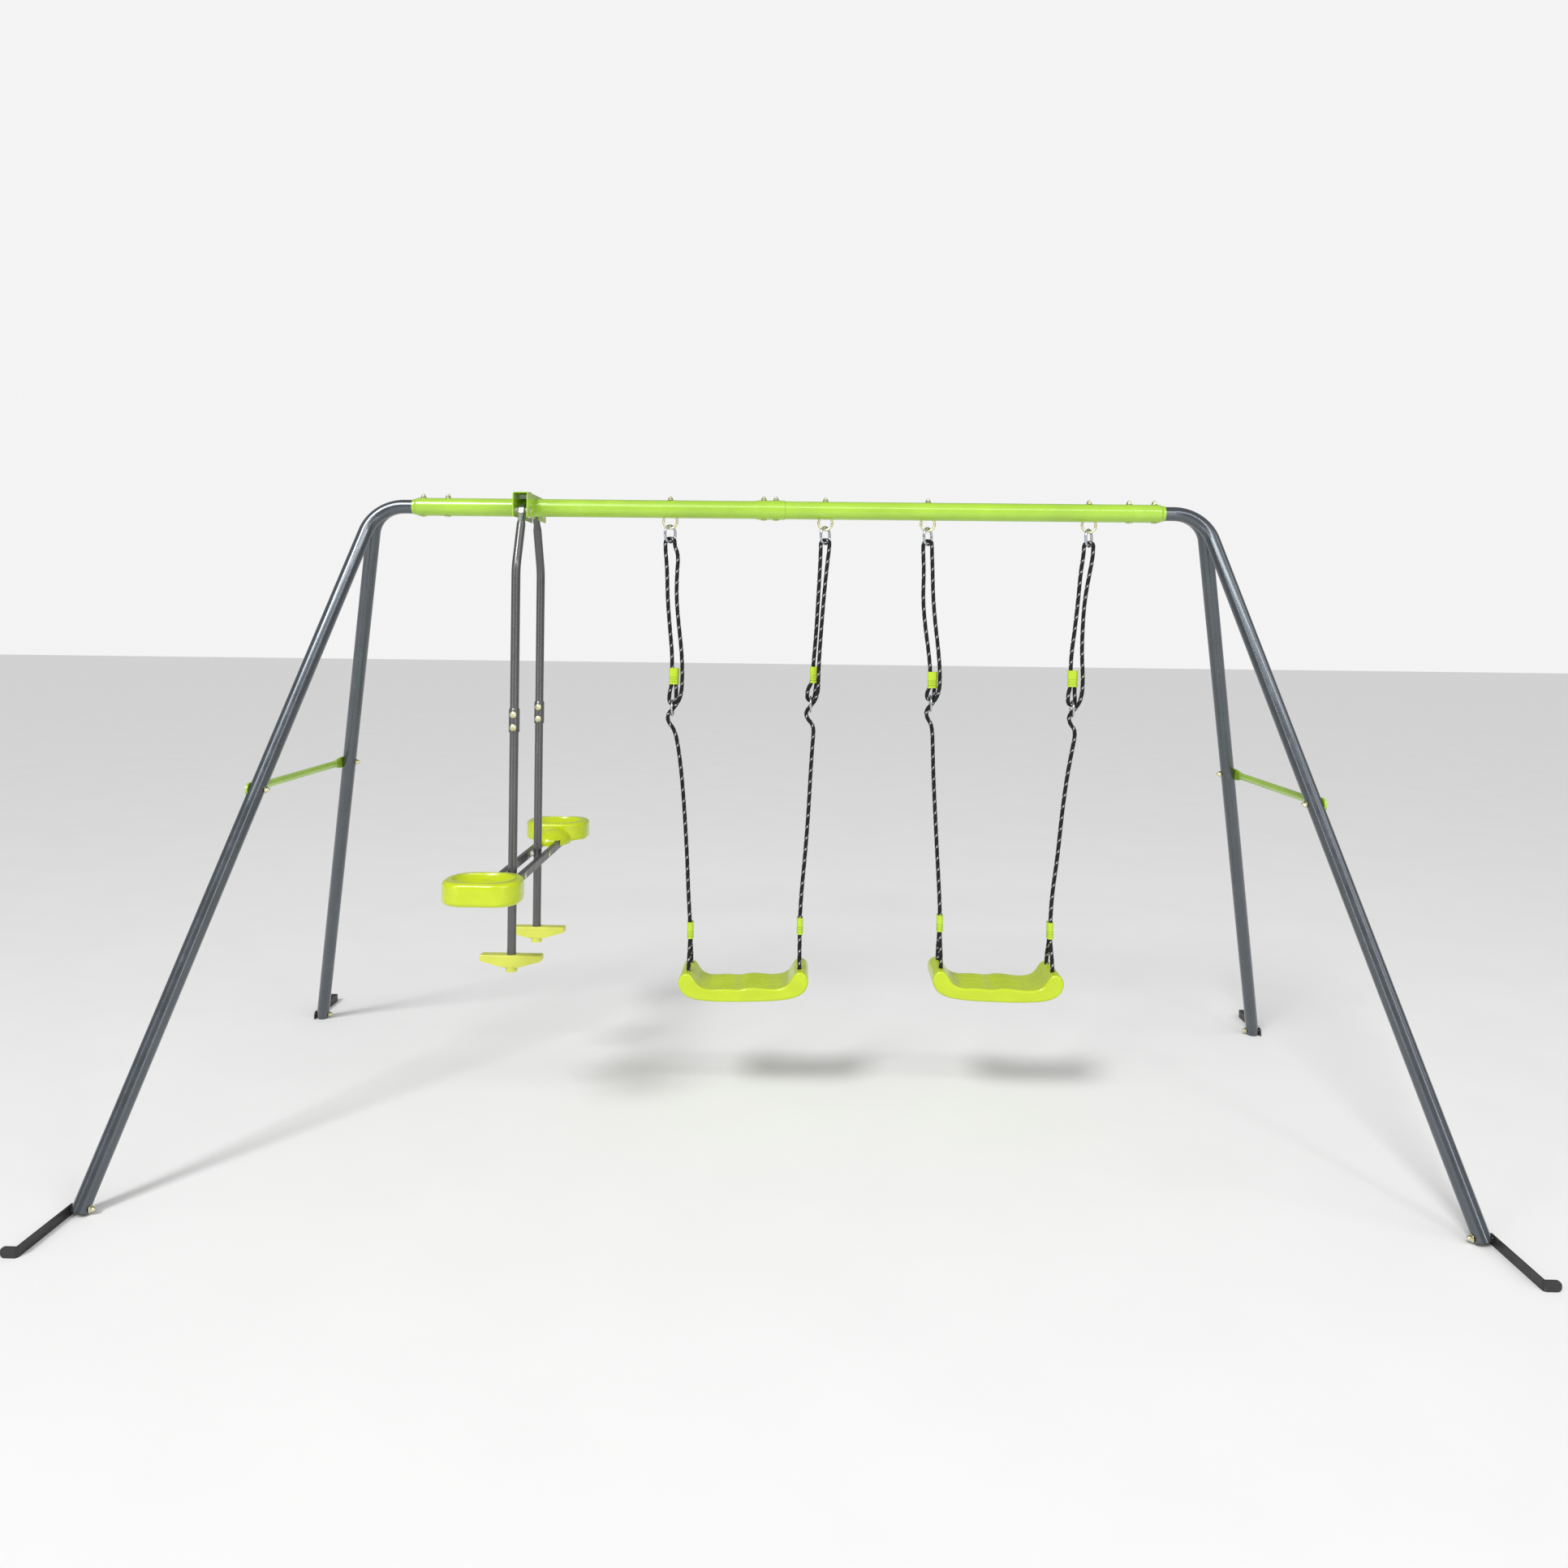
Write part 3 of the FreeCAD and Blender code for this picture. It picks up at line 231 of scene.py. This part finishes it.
@dataclass(frozen=True)
class Braid:
    """Braided rope yarn: black fibres with pale tracer yarns, read from the strands' own attribute."""

    name: str
    dark: Colour = (0.04, 0.04, 0.045)
    pale: Colour = (0.82, 0.82, 0.81)

    def material(self) -> bpy.types.Material:
        """Build the finish."""
        r = Recipe(self.name)
        mark = r.tree.nodes.new("ShaderNodeAttribute")
        mark.attribute_name = "tracer"
        fibre = r.noise(2600.0, 3.0, (1.0, 1.0, 0.35))
        dark = r.mix(r.ramp(fibre, 0.35, 0.7), linear(shaded(self.dark, 0.6)), linear(shaded(self.dark, 1.5)))
        pale = r.mix(r.ramp(fibre, 0.3, 0.7), linear(shaded(self.pale, 0.7)), linear(self.pale))
        tone = r.mix(mark.outputs["Fac"], dark, pale)
        relief = r.bump(fibre, 0.0004, 0.6)
        return r.finish(Base_Color=tone, Roughness=0.78, Normal=relief,
                        Sheen_Weight=0.03, Sheen_Roughness=0.4)


class Finish(Enum):
    """The object's finishes, by the record's slot names."""

    LIME_PAINT = PowderCoat("lime_powder_coat", (0.635, 0.80, 0.20), 0.34, 0.9, 0.1)
    GUNMETAL_PAINT = PowderCoat("gunmetal_powder_coat", (0.34, 0.365, 0.39), 0.27, 0.7, 0.1, 0.75)
    ANCHOR_STEEL = PowderCoat("anchor_black_paint", (0.15, 0.15, 0.15), 0.48, 0.1, 0.2)
    HANGER_PAINT = PowderCoat("hanger_grey_paint", (0.37, 0.37, 0.37), 0.32, 0.5, 0.1, 0.6)
    RAIL_PAINT = PowderCoat("rail_dark_paint", (0.18, 0.185, 0.18), 0.38, 0.3)
    ZINC = Plated("yellow_zinc_plate", (0.90, 0.91, 0.80), (0.88, 0.84, 0.62), 0.26)
    RING_STEEL = Plated("bright_zinc_plate", (0.80, 0.81, 0.82), (0.68, 0.70, 0.74), 0.24)
    SLEEVE_PLASTIC = Moulded("lime_ferrule_plastic", (0.72, 0.84, 0.11), 0.4, 0.08)
    SEAT_PLASTIC = Moulded("lime_seat_plastic", (0.745, 0.825, 0.07), 0.30, 0.10)
    GLIDER_PLASTIC = Moulded("yellow_green_seat_plastic", (0.755, 0.825, 0.02), 0.24, 0.10, 0.12)
    PEG_PLASTIC = Moulded("pale_lime_peg_plastic", (0.82, 0.84, 0.31), 0.4, 0.12)
    SPACER_PLASTIC = Moulded("natural_nylon", (0.86, 0.87, 0.82), 0.42, 0.2)
    BLACK_ROPE = Braid("black_braid_with_tracer")


FINISHES: dict[Finish, bpy.types.Material] = {kind: kind.value.material() for kind in Finish}


def dress_frame() -> None:
    """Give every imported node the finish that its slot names."""
    for entry in frame["record"]["subparts"]:
        node = frame["nodes"][entry["node"]]
        node.data.materials.clear()
        node.data.materials.append(FINISHES[Finish[entry["material_slot"].upper()]])
    log.info("dressed %d packed nodes", len(frame["nodes"]))


# ---------------------------------------------------------------- mesh helpers


def new_mesh(name: str, points: np.ndarray, faces: list[tuple[int, ...]], finish: Finish,
             smooth: bool = True) -> bpy.types.Object:
    """Make an object from points and faces.

    Args:
        name: The piece's name.
        points: Rows of x, y, z in metres.
        faces: Point indices of each face, anticlockwise from outside.
        finish: The piece's finish.
        smooth: Whether its faces are shaded smooth.

    Returns:
        The linked object.
    """
    mesh = bpy.data.meshes.new(name)
    mesh.from_pydata([tuple(p) for p in points], [], faces)
    mesh.validate()
    mesh.polygons.foreach_set("use_smooth", [smooth] * len(mesh.polygons))
    mesh.materials.append(FINISHES[finish])
    made = bpy.data.objects.new(name, mesh)
    bpy.context.scene.collection.objects.link(made)
    return made


def ring_faces(rings: int, around: int, offset: int = 0) -> list[tuple[int, ...]]:
    """Faces that join rings of points, one ring after the other."""
    faces = []
    for i in range(rings - 1):
        for j in range(around):
            k = (j + 1) % around
            a, b = offset + i * around, offset + (i + 1) * around
            faces.append((a + j, a + k, b + k, b + j))
    return faces


def face_outwards(piece: bpy.types.Object) -> None:
    """Turn a closed mesh's faces outwards."""
    body = bmesh.new()
    body.from_mesh(piece.data)
    bmesh.ops.recalc_face_normals(body, faces=body.faces)
    body.to_mesh(piece.data)
    body.free()


# ---------------------------------------------------------------- ropes


@dataclass
class Rope:
    """One rope of a swing: a hollow braid of interlaced strands round a dark core.

    Attributes:
        node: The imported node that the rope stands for.
        route: The points of its route, in millimetres.
        body: The body that it moves with.
        diameter: Outside diameter.
        lay: Length in which a strand goes once round.
        carriers: Strands that turn each way.
    """

    node: str
    route: list[Point]
    body: str
    diameter: float = 0.012
    lay: float = 0.034
    carriers: int = 4

    def centreline(self) -> np.ndarray:
        """Points down the rope, read from the route's own spline."""
        curve = bpy.data.curves.new(self.node + "_line", "CURVE")
        curve.dimensions = "3D"
        spline = curve.splines.new("NURBS")
        spline.points.add(len(self.route) - 1)
        for point, (x, y, z) in zip(spline.points, self.route):
            point.co = (x / 1000, y / 1000, z / 1000, 1.0)
        spline.order_u = 3
        spline.use_endpoint_u = True
        spline.resolution_u = 14
        bare = bpy.data.objects.new(curve.name, curve)
        mesh = bpy.data.meshes.new_from_object(bare)
        line = np.array([v.co for v in mesh.vertices], float)
        bpy.data.meshes.remove(mesh)
        bpy.data.objects.remove(bare)
        bpy.data.curves.remove(curve)
        return line

    def frames(self, step: float) -> tuple[np.ndarray, np.ndarray, np.ndarray, np.ndarray]:
        """Even stations along the rope with a frame that doesn't twist.

        Args:
            step: Distance between stations.

        Returns:
            Distances, points, and the two directions across the rope at each.
        """
        line = self.centreline()
        gone = np.concatenate([[0.0], np.cumsum(np.linalg.norm(np.diff(line, axis=0), axis=1))])
        at = np.linspace(0.0, gone[-1], int(gone[-1] / step) + 1)
        points = np.stack([np.interp(at, gone, line[:, k]) for k in range(3)], axis=1)
        along = np.gradient(points, axis=0)
        along /= np.linalg.norm(along, axis=1)[:, None]
        across = np.zeros_like(points)
        side = np.array([1.0, 0.0, 0.0])
        for i, direction in enumerate(along):
            side = side - direction * (side @ direction)
            side /= np.linalg.norm(side)
            across[i] = side
        return at, points, across, np.cross(along, across)

    def build(self) -> bpy.types.Object:
        step = self.lay / 14
        at, points, across, over = self.frames(step)
        core_r, mean_r = self.diameter * 0.30, self.diameter * 0.355
        swing_r, half_thick, half_wide = self.diameter * 0.055, self.diameter * 0.14, self.diameter * 0.235
        sides = 6
        phases = np.arange(sides) * 2 * math.pi / sides
        verts, faces, tracer = [], [], []
        wave = np.cos(2 * math.pi * self.carriers * at / self.lay)
        for way in (1, -1):
            for k in range(self.carriers):
                turn = way * 2 * math.pi * at / self.lay + 2 * math.pi * k / self.carriers
                out = across * np.cos(turn)[:, None] + over * np.sin(turn)[:, None]
                round_way = over * np.cos(turn)[:, None] - across * np.sin(turn)[:, None]
                reach = mean_r + way * swing_r * wave
                middle = points + out * reach[:, None]
                ring = (middle[:, None, :]
                        + out[:, None, :] * (half_thick * np.cos(phases))[None, :, None]
                        + round_way[:, None, :] * (half_wide * np.sin(phases))[None, :, None])
                start = len(verts)
                verts.extend(ring.reshape(-1, 3))
                faces += ring_faces(len(at), sides, start)
                last = start + (len(at) - 1) * sides
                faces.append(tuple(range(start + sides - 1, start - 1, -1)))
                faces.append(tuple(range(last, last + sides)))
                tracer += [1.0 if k == 0 and way == 1 else 0.0] * (len(at) * sides)
        start = len(verts)
        ring = (points[:, None, :] + across[:, None, :] * (core_r * np.cos(phases))[None, :, None]
                + over[:, None, :] * (core_r * np.sin(phases))[None, :, None])
        verts.extend(ring.reshape(-1, 3))
        faces += ring_faces(len(at), sides, start)
        last = start + (len(at) - 1) * sides
        faces.append(tuple(range(start + sides - 1, start - 1, -1)))
        faces.append(tuple(range(last, last + sides)))
        tracer += [0.0] * (len(at) * sides)
        piece = new_mesh(self.node + "_braid", np.array(verts), faces, Finish.BLACK_ROPE)
        mark = piece.data.attributes.new("tracer", "FLOAT", "POINT")
        mark.data.foreach_set("value", tracer)
        face_outwards(piece)
        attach(piece, self.body)
        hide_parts(self.node)
        log.info("%s: %.3f m of rope, %d faces", self.node, at[-1], len(piece.data.polygons))
        return piece


# Each route starts in the lower sleeve, loops through the seat's wing and back, climbs to the adjuster ring,
# goes through it and over the link, and ends in the upper sleeve after its eye round the ring. Millimetres.
ROUTES: dict[str, list[Point]] = {
    "swing_1_rope_left": [
        (-276, 6.2, 556), (-276, 6.2, 508), (-276, 22, 476), (-276, 42, 446), (-276, 42, 388),
        (-276, -42, 388), (-276, -42, 446), (-276, -22, 476), (-276, -6.2, 508), (-277, -6.2, 560),
        (-283, -3, 640), (-289, 0, 760), (-299, 2, 900), (-309, 0, 1010), (-320, -3, 1090), (-330, -7, 1135),
        (-351, -9, 1161), (-351, -9, 1183), (-329, -9, 1205), (-311, -9, 1236), (-308, -8, 1295),
        (-311, -6, 1365), (-321, -3, 1445), (-330, 0, 1530), (-329, 0, 1610), (-325, 0, 1660),
        (-337, 0, 1690), (-337, 0, 1711.5), (-365, 0, 1711.5), (-365, 0, 1680), (-359, 0, 1620),
        (-357, 1, 1535), (-350, 3, 1450), (-342, 6, 1370), (-341.2, 6.5, 1320), (-341.2, 6.5, 1272),
        (-349, 7, 1244), (-349, 7, 1212), (-327.5, 7, 1212), (-328, 7, 1244), (-328.8, 6.5, 1272),
        (-328.8, 6.5, 1318)],
    "swing_1_rope_right": [
        (54, 6.2, 574), (54, 6.2, 526), (54, 22, 490), (54, 42, 454), (54, 42, 394),
        (54, -42, 394), (54, -42, 454), (54, -22, 490), (54, -6.2, 526), (54, -6.2, 578),
        (58, -3, 655), (68, 0, 770), (76, 1, 895), (81, 0, 1010), (86, -2, 1100), (90, -7, 1152),
        (66, -9, 1177), (66, -9, 1199), (88, -9, 1221), (101, -13, 1252), (101, -15, 1305),
        (104, -11, 1375), (109, -6, 1455), (115, -3, 1540), (122, 0, 1620), (127, 0, 1666),
        (130, 0, 1692), (130, 0, 1711.5), (104, 0, 1711.5), (104, 0, 1680), (102, 0, 1620),
        (98, 1, 1535), (94, 4, 1450), (89, 6, 1375), (84.5, 6.5, 1322), (84.5, 6.5, 1288),
        (68, 7, 1258), (68, 7, 1228), (89.5, 7, 1228), (93, 7, 1262), (96.9, 6.5, 1288),
        (96.9, 6.5, 1322)],
    "swing_2_rope_left": [
        (474, 6.2, 589), (474, 6.2, 541), (474, 22, 504), (474, 42, 468), (474, 42, 408),
        (474, -42, 408), (474, -42, 468), (474, -22, 504), (474, -6.2, 541), (474, -6.2, 592),
        (471, -3, 665), (464, 0, 775), (457, 2, 895), (450, 0, 1010), (447, -2, 1100), (444, -7, 1158),
        (426, -9, 1184), (426, -9, 1206), (448, -9, 1228), (464, -10, 1258), (466, -11, 1310),
        (460, -8, 1385), (450, -5, 1465), (443, -2, 1545), (441, 0, 1622), (439, 0, 1668),
        (438, 0, 1692), (438, 0, 1711.5), (412, 0, 1711.5), (412, 0, 1680), (415, 0, 1620),
        (413, 1, 1535), (421, 3, 1455), (433, 6, 1375), (438.8, 6.5, 1316), (438.8, 6.5, 1276),
        (429, 7, 1257), (428.5, 7, 1235), (449.5, 7, 1235), (450.5, 7, 1257), (451.2, 6.5, 1276),
        (451.2, 6.5, 1316)],
    "swing_2_rope_right": [
        (804, 6.2, 572), (804, 6.2, 524), (804, 22, 490), (804, 42, 456), (804, 42, 396),
        (804, -42, 396), (804, -42, 456), (804, -22, 490), (804, -6.2, 524), (804, -6.2, 576),
        (809, -3, 655), (825, 0, 770), (836, 1, 890), (849, 0, 1000), (864, -3, 1090), (874, -7, 1147),
        (852, -9, 1173), (852, -9, 1195), (874, -9, 1217), (890, -9, 1248), (893, -8, 1305),
        (889, -6, 1375), (891, -3, 1455), (897, 0, 1540), (911, 0, 1620), (919, 0, 1664),
        (921, 0, 1692), (921, 0, 1711.5), (893, 0, 1711.5), (893, 0, 1680), (884, 0, 1620),
        (878, 1, 1540), (870, 3, 1455), (861, 6, 1380), (859, 6.5, 1327), (859, 6.5, 1279),
        (852, 7, 1254), (852, 7, 1224), (873.5, 7, 1224), (872, 7, 1254), (871.4, 6.5, 1279),
        (871.4, 6.5, 1327)],
}


def build_ropes() -> None:
    """Build every rope on its swing's body."""
    for node, route in ROUTES.items():
        Rope(node, route, node[:7]).build()


# ---------------------------------------------------------------- small parts that repeat


@dataclass
class Scatter:
    """Copies of one small part on a list of places, laid by a node tree.

    Attributes:
        name: The piece's name.
        body: The body that it moves with.
        finish: Its finish.
        places: Where each copy stands.
        turns: Which way each copy's own Z points.
    """

    name: str
    body: str
    finish: Finish
    places: list[Vector]
    turns: list[Vector]

    def tree(self) -> bpy.types.NodeTree:
        """A tree that puts a washer on every point, turned by the point's own direction."""
        group = bpy.data.node_groups.new(self.name + "_tree", "GeometryNodeTree")
        face = group.interface
        face.new_socket("Geometry", in_out="INPUT", socket_type="NodeSocketGeometry")
        for label in ("Radius", "Bore", "Thickness"):
            face.new_socket(label, in_out="INPUT", socket_type="NodeSocketFloat")
        face.new_socket("Geometry", in_out="OUTPUT", socket_type="NodeSocketGeometry")
        add, link = group.nodes.new, group.links.new
        start, end = add("NodeGroupInput"), add("NodeGroupOutput")
        path = add("GeometryNodeCurvePrimitiveCircle")
        section = add("GeometryNodeCurvePrimitiveQuadrilateral")
        sweep = add("GeometryNodeCurveToMesh")
        path.inputs["Resolution"].default_value = 40
        middle, wide = add("ShaderNodeMath"), add("ShaderNodeMath")
        middle.operation, wide.operation = "ADD", "SUBTRACT"
        for maths in (middle, wide):
            link(start.outputs["Radius"], maths.inputs[0])
            link(start.outputs["Bore"], maths.inputs[1])
        halved = add("ShaderNodeMath")
        halved.operation = "MULTIPLY"
        halved.inputs[1].default_value = 0.5
        link(middle.outputs[0], halved.inputs[0])
        link(halved.outputs[0], path.inputs["Radius"])
        link(wide.outputs[0], section.inputs["Width"])
        link(start.outputs["Thickness"], section.inputs["Height"])
        link(path.outputs["Curve"], sweep.inputs["Curve"])
        link(section.outputs["Curve"], sweep.inputs["Profile Curve"])
        way = add("GeometryNodeInputNamedAttribute")
        way.data_type = "FLOAT_VECTOR"
        way.inputs["Name"].default_value = "way"
        turn = add("FunctionNodeAlignRotationToVector")
        turn.axis = "Z"
        link(way.outputs["Attribute"], turn.inputs["Vector"])
        copies = add("GeometryNodeInstanceOnPoints")
        link(start.outputs["Geometry"], copies.inputs["Points"])
        link(sweep.outputs["Mesh"], copies.inputs["Instance"])
        link(turn.outputs["Rotation"], copies.inputs["Rotation"])
        real = add("GeometryNodeRealizeInstances")
        link(copies.outputs["Instances"], real.inputs["Geometry"])
        dress = add("GeometryNodeSetMaterial")
        dress.inputs["Material"].default_value = FINISHES[self.finish]
        link(real.outputs["Geometry"], dress.inputs["Geometry"])
        link(dress.outputs["Geometry"], end.inputs["Geometry"])
        return group

    def build(self, radius: float, bore: float, thickness: float) -> bpy.types.Object:
        """Lay the washers and turn them into a plain mesh.

        Args:
            radius: Outside radius.
            bore: Radius of the hole.
            thickness: Height along its own Z.

        Returns:
            The piece.
        """
        points = bpy.data.meshes.new(self.name + "_places")
        points.from_pydata([tuple(p) for p in self.places], [], [])
        points.attributes.new("way", "FLOAT_VECTOR", "POINT").data.foreach_set(
            "vector", [c for turn in self.turns for c in turn])
        source = bpy.data.objects.new(self.name + "_source", points)
        bpy.context.scene.collection.objects.link(source)
        laid = source.modifiers.new("laid", "NODES")
        laid.node_group = self.tree()
        for item in laid.node_group.interface.items_tree:
            if item.in_out == "INPUT" and item.socket_type == "NodeSocketFloat":
                laid[item.identifier] = {"Radius": radius, "Bore": bore, "Thickness": thickness}[item.name]
        source.update_tag()
        seen = source.evaluated_get(bpy.context.evaluated_depsgraph_get())
        mesh = bpy.data.meshes.new_from_object(seen)
        source.modifiers.remove(laid)
        bpy.data.objects.remove(source)
        mesh.name = self.name
        piece = bpy.data.objects.new(self.name, mesh)
        bpy.context.scene.collection.objects.link(piece)
        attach(piece, self.body)
        log.info("%s: %d washers", self.name, len(self.places))
        return piece


@dataclass
class Washers:
    """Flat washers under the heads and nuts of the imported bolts, found from the bolts' own meshes.

    Attributes:
        radius: Outside radius.
        bore: Radius of the hole.
        thickness: Height along the bolt.
        head_r: Radius of a bolt's head, which only its seat reaches.
        nut_r: Distance of a nut's corners from its axis.
        nut_height: From a nut's seat to the top of its dome.
        slack: Tolerance on these when they are looked for.
    """

    radius: float = 0.0096
    bore: float = 0.0042
    thickness: float = 0.0014
    head_r: float = 0.0080
    nut_r: float = 0.0075
    nut_height: float = 0.0120
    slack: float = 0.0002

    def islands(self, node: str) -> list[np.ndarray]:
        """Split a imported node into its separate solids.

        Args:
            node: The node's name.

        Returns:
            The points of each solid.
        """
        body = bmesh.new()
        body.from_mesh(frame["nodes"][node].data)
        bmesh.ops.remove_doubles(body, verts=body.verts, dist=1e-6)
        found, seen = [], set()
        for first in body.verts:
            if first.index in seen:
                continue
            group, queue = [], [first]
            seen.add(first.index)
            while queue:
                vert = queue.pop()
                group.append(tuple(vert.co))
                for edge in vert.link_edges:
                    other = edge.other_vert(vert)
                    if other.index not in seen:
                        seen.add(other.index)
                        queue.append(other)
            found.append(np.array(group))
        body.free()
        return found

    def seats(self, node: str) -> list[tuple[Vector, Vector]]:
        """Where the washers of a node's bolts go.

        Args:
            node: A node of bolts.

        Returns:
            The middle and direction of each washer.
        """
        places = []
        for points in self.islands(node):
            low, high = points.min(0), points.max(0)
            axis = int(np.argmax(high - low))
            middle = (low + high) / 2
            across = np.delete(points - middle, axis, axis=1)
            radial = np.hypot(across[:, 0], across[:, 1])
            head = points[radial > self.head_r - self.slack, axis].mean()
            corners = points[abs(radial - self.nut_r) < self.slack, axis]
            nut = corners[np.argmin(abs(corners - head))]
            outwards = math.copysign(self.thickness / 2, head - nut)
            for level in (head + outwards, nut - outwards):
                at, way = middle.copy(), np.zeros(3)
                at[axis], way[axis] = level, 1.0
                places.append((Vector(at), Vector(way)))
        return places

    def under_eye(self, node: str) -> tuple[Vector, Vector]:
        """The washer under the nut of an eye bolt, on top of the beam."""
        low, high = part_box(node)
        level = high.z - self.nut_height + self.thickness / 2
        return Vector(((low.x + high.x) / 2, (low.y + high.y) / 2, level)), Vector((0.0, 0.0, 1.0))

    def build(self) -> None:
        """Lay the washers of each body."""
        groups = {
            "frame": ["beam_bolts", "crossbar_bolts", "anchor_bolts", "glider_bracket_bolts"],
            "glider_hanger_front": ["glider_swage_bolts_front"],
            "glider_hanger_rear": ["glider_swage_bolts_rear"],
            "glider_rails": ["glider_rail_bolts"],
        }
        for body, nodes in groups.items():
            places = [place for node in nodes for place in self.seats(node)]
            if body == "frame":
                places += [self.under_eye(n) for n in sorted(frame["nodes"]) if n.startswith("eyebolt")]
            middles, ways = [at for at, _ in places], [way for _, way in places]
            scatter = Scatter(body + "_washers", body, Finish.ZINC, middles, ways)
            scatter.build(self.radius, self.bore, self.thickness)


# ---------------------------------------------------------------- studio


@dataclass
class Studio:
    """A pale floor, soft lights and the camera.

    Attributes:
        camera_at: Where the camera stands.
        yaw: Its turn about the vertical, in degrees.
        roll: Its turn about its own axis, in degrees.
        lens: Focal length in millimetres.
        shift: Vertical shift of the frame.
        sensor: Width of the sensor in millimetres.
        ambient: Strength of the surround as a light.
        backdrop: Strength of the surround as seen by the camera.
        aim: What the strip lights point at.
        floor_half: Half the floor's width.
    """

    camera_at: Point = (0.059, -3.442, 1.452)
    yaw: float = 1.05
    roll: float = 0.66
    lens: float = 26.22
    shift: float = -0.1009
    sensor: float = 36.0
    ambient: float = 0.34
    backdrop: float = 0.9
    aim: Point = (0.0, 0.0, 1.2)
    floor_half: float = 40.0

    def camera(self) -> None:
        """A level camera in front of the middle of the beam."""
        data = bpy.data.cameras.new("camera")
        data.lens, data.sensor_width, data.shift_y = self.lens, self.sensor, self.shift
        data.clip_end = 200.0
        made = bpy.data.objects.new("camera", data)
        made.matrix_world = (Matrix.Translation(self.camera_at)
                             @ Matrix.Rotation(math.radians(self.yaw), 4, "Z")
                             @ Matrix.Rotation(math.pi / 2, 4, "X")
                             @ Matrix.Rotation(math.radians(self.roll), 4, "Z"))
        bpy.context.scene.collection.objects.link(made)
        bpy.context.scene.camera = made

    def sun(self, name: str, way: Point, strength: float, spread: float) -> None:
        """A soft light that is even over the whole floor.

        Args:
            name: Its name.
            way: Where it shines from, as a direction.
            strength: Its power on a surface that faces it.
            spread: Its apparent width in degrees.
        """
        data = bpy.data.lights.new(name, "SUN")
        data.energy, data.angle = strength, math.radians(spread)
        made = bpy.data.objects.new(name, data)
        made.rotation_euler = Vector(way).to_track_quat("Z", "Y").to_euler()
        bpy.context.scene.collection.objects.link(made)

    def strip(self, name: str, at: Point, size: tuple[float, float], watts: float) -> None:
        """A soft rectangular light that points at the middle of the frame.

        Args:
            name: Its name.
            at: Where it stands.
            size: Width and height.
            watts: Its power.
        """
        data = bpy.data.lights.new(name, "AREA")
        data.shape, data.size, data.size_y, data.energy = "RECTANGLE", size[0], size[1], watts
        made = bpy.data.objects.new(name, data)
        made.location = at
        made.rotation_euler = (Vector(self.aim) - Vector(at)).to_track_quat("-Z", "Y").to_euler()
        bpy.context.scene.collection.objects.link(made)

    def sky(self) -> None:
        """A plain white surround, brighter to the camera than as a light."""
        world = bpy.data.worlds.new("studio")
        world.use_nodes = True
        tree = world.node_tree
        seen = tree.nodes.new("ShaderNodeLightPath").outputs["Is Camera Ray"]
        level = tree.nodes.new("ShaderNodeMapRange")
        level.inputs["To Min"].default_value = self.ambient
        level.inputs["To Max"].default_value = self.backdrop
        tree.links.new(seen, level.inputs["Value"])
        tree.nodes["Background"].inputs["Color"].default_value = (1.0, 1.0, 1.0, 1.0)
        tree.links.new(level.outputs["Result"], tree.nodes["Background"].inputs["Strength"])
        bpy.context.scene.world = world

    def floor(self) -> None:
        """A wide pale floor with a faint mottle."""
        half = self.floor_half
        corners = [(-half, -half, 0), (half, -half, 0), (half, half, 0), (-half, half, 0)]
        mesh = bpy.data.meshes.new("floor")
        mesh.from_pydata(corners, [], [(0, 1, 2, 3)])
        r = Recipe("pale_floor")
        tone = r.mix(r.noise(3.0, 3.0), linear((0.955, 0.955, 0.955)), linear((0.975, 0.975, 0.975)))
        mesh.materials.append(r.finish(Base_Color=tone, Roughness=0.9))
        made = bpy.data.objects.new("floor", mesh)
        bpy.context.scene.collection.objects.link(made)

    def build(self) -> None:
        """Set the whole studio."""
        bpy.context.scene.view_settings.view_transform = "Standard"
        self.sky()
        self.camera()
        self.floor()
        self.sun("key", (-0.55, -1.0, 1.15), 1.4, 14.0)
        self.sun("fill", (1.0, -0.6, 0.7), 0.35, 30.0)
        self.strip("overhead", (0.0, -4.0, 4.6), (9.0, 0.5), 115.0)
        self.strip("left_side", (-4.2, -4.6, 1.8), (0.5, 5.0), 50.0)
        self.strip("right_side", (3.2, -5.4, 1.8), (0.5, 5.0), 50.0)


def main() -> None:
    """Build the swing set's looks in order."""
    dress_frame()
    Studio().build()
    build_ropes()
    Washers().build()


if __name__ == "__main__":
    main()
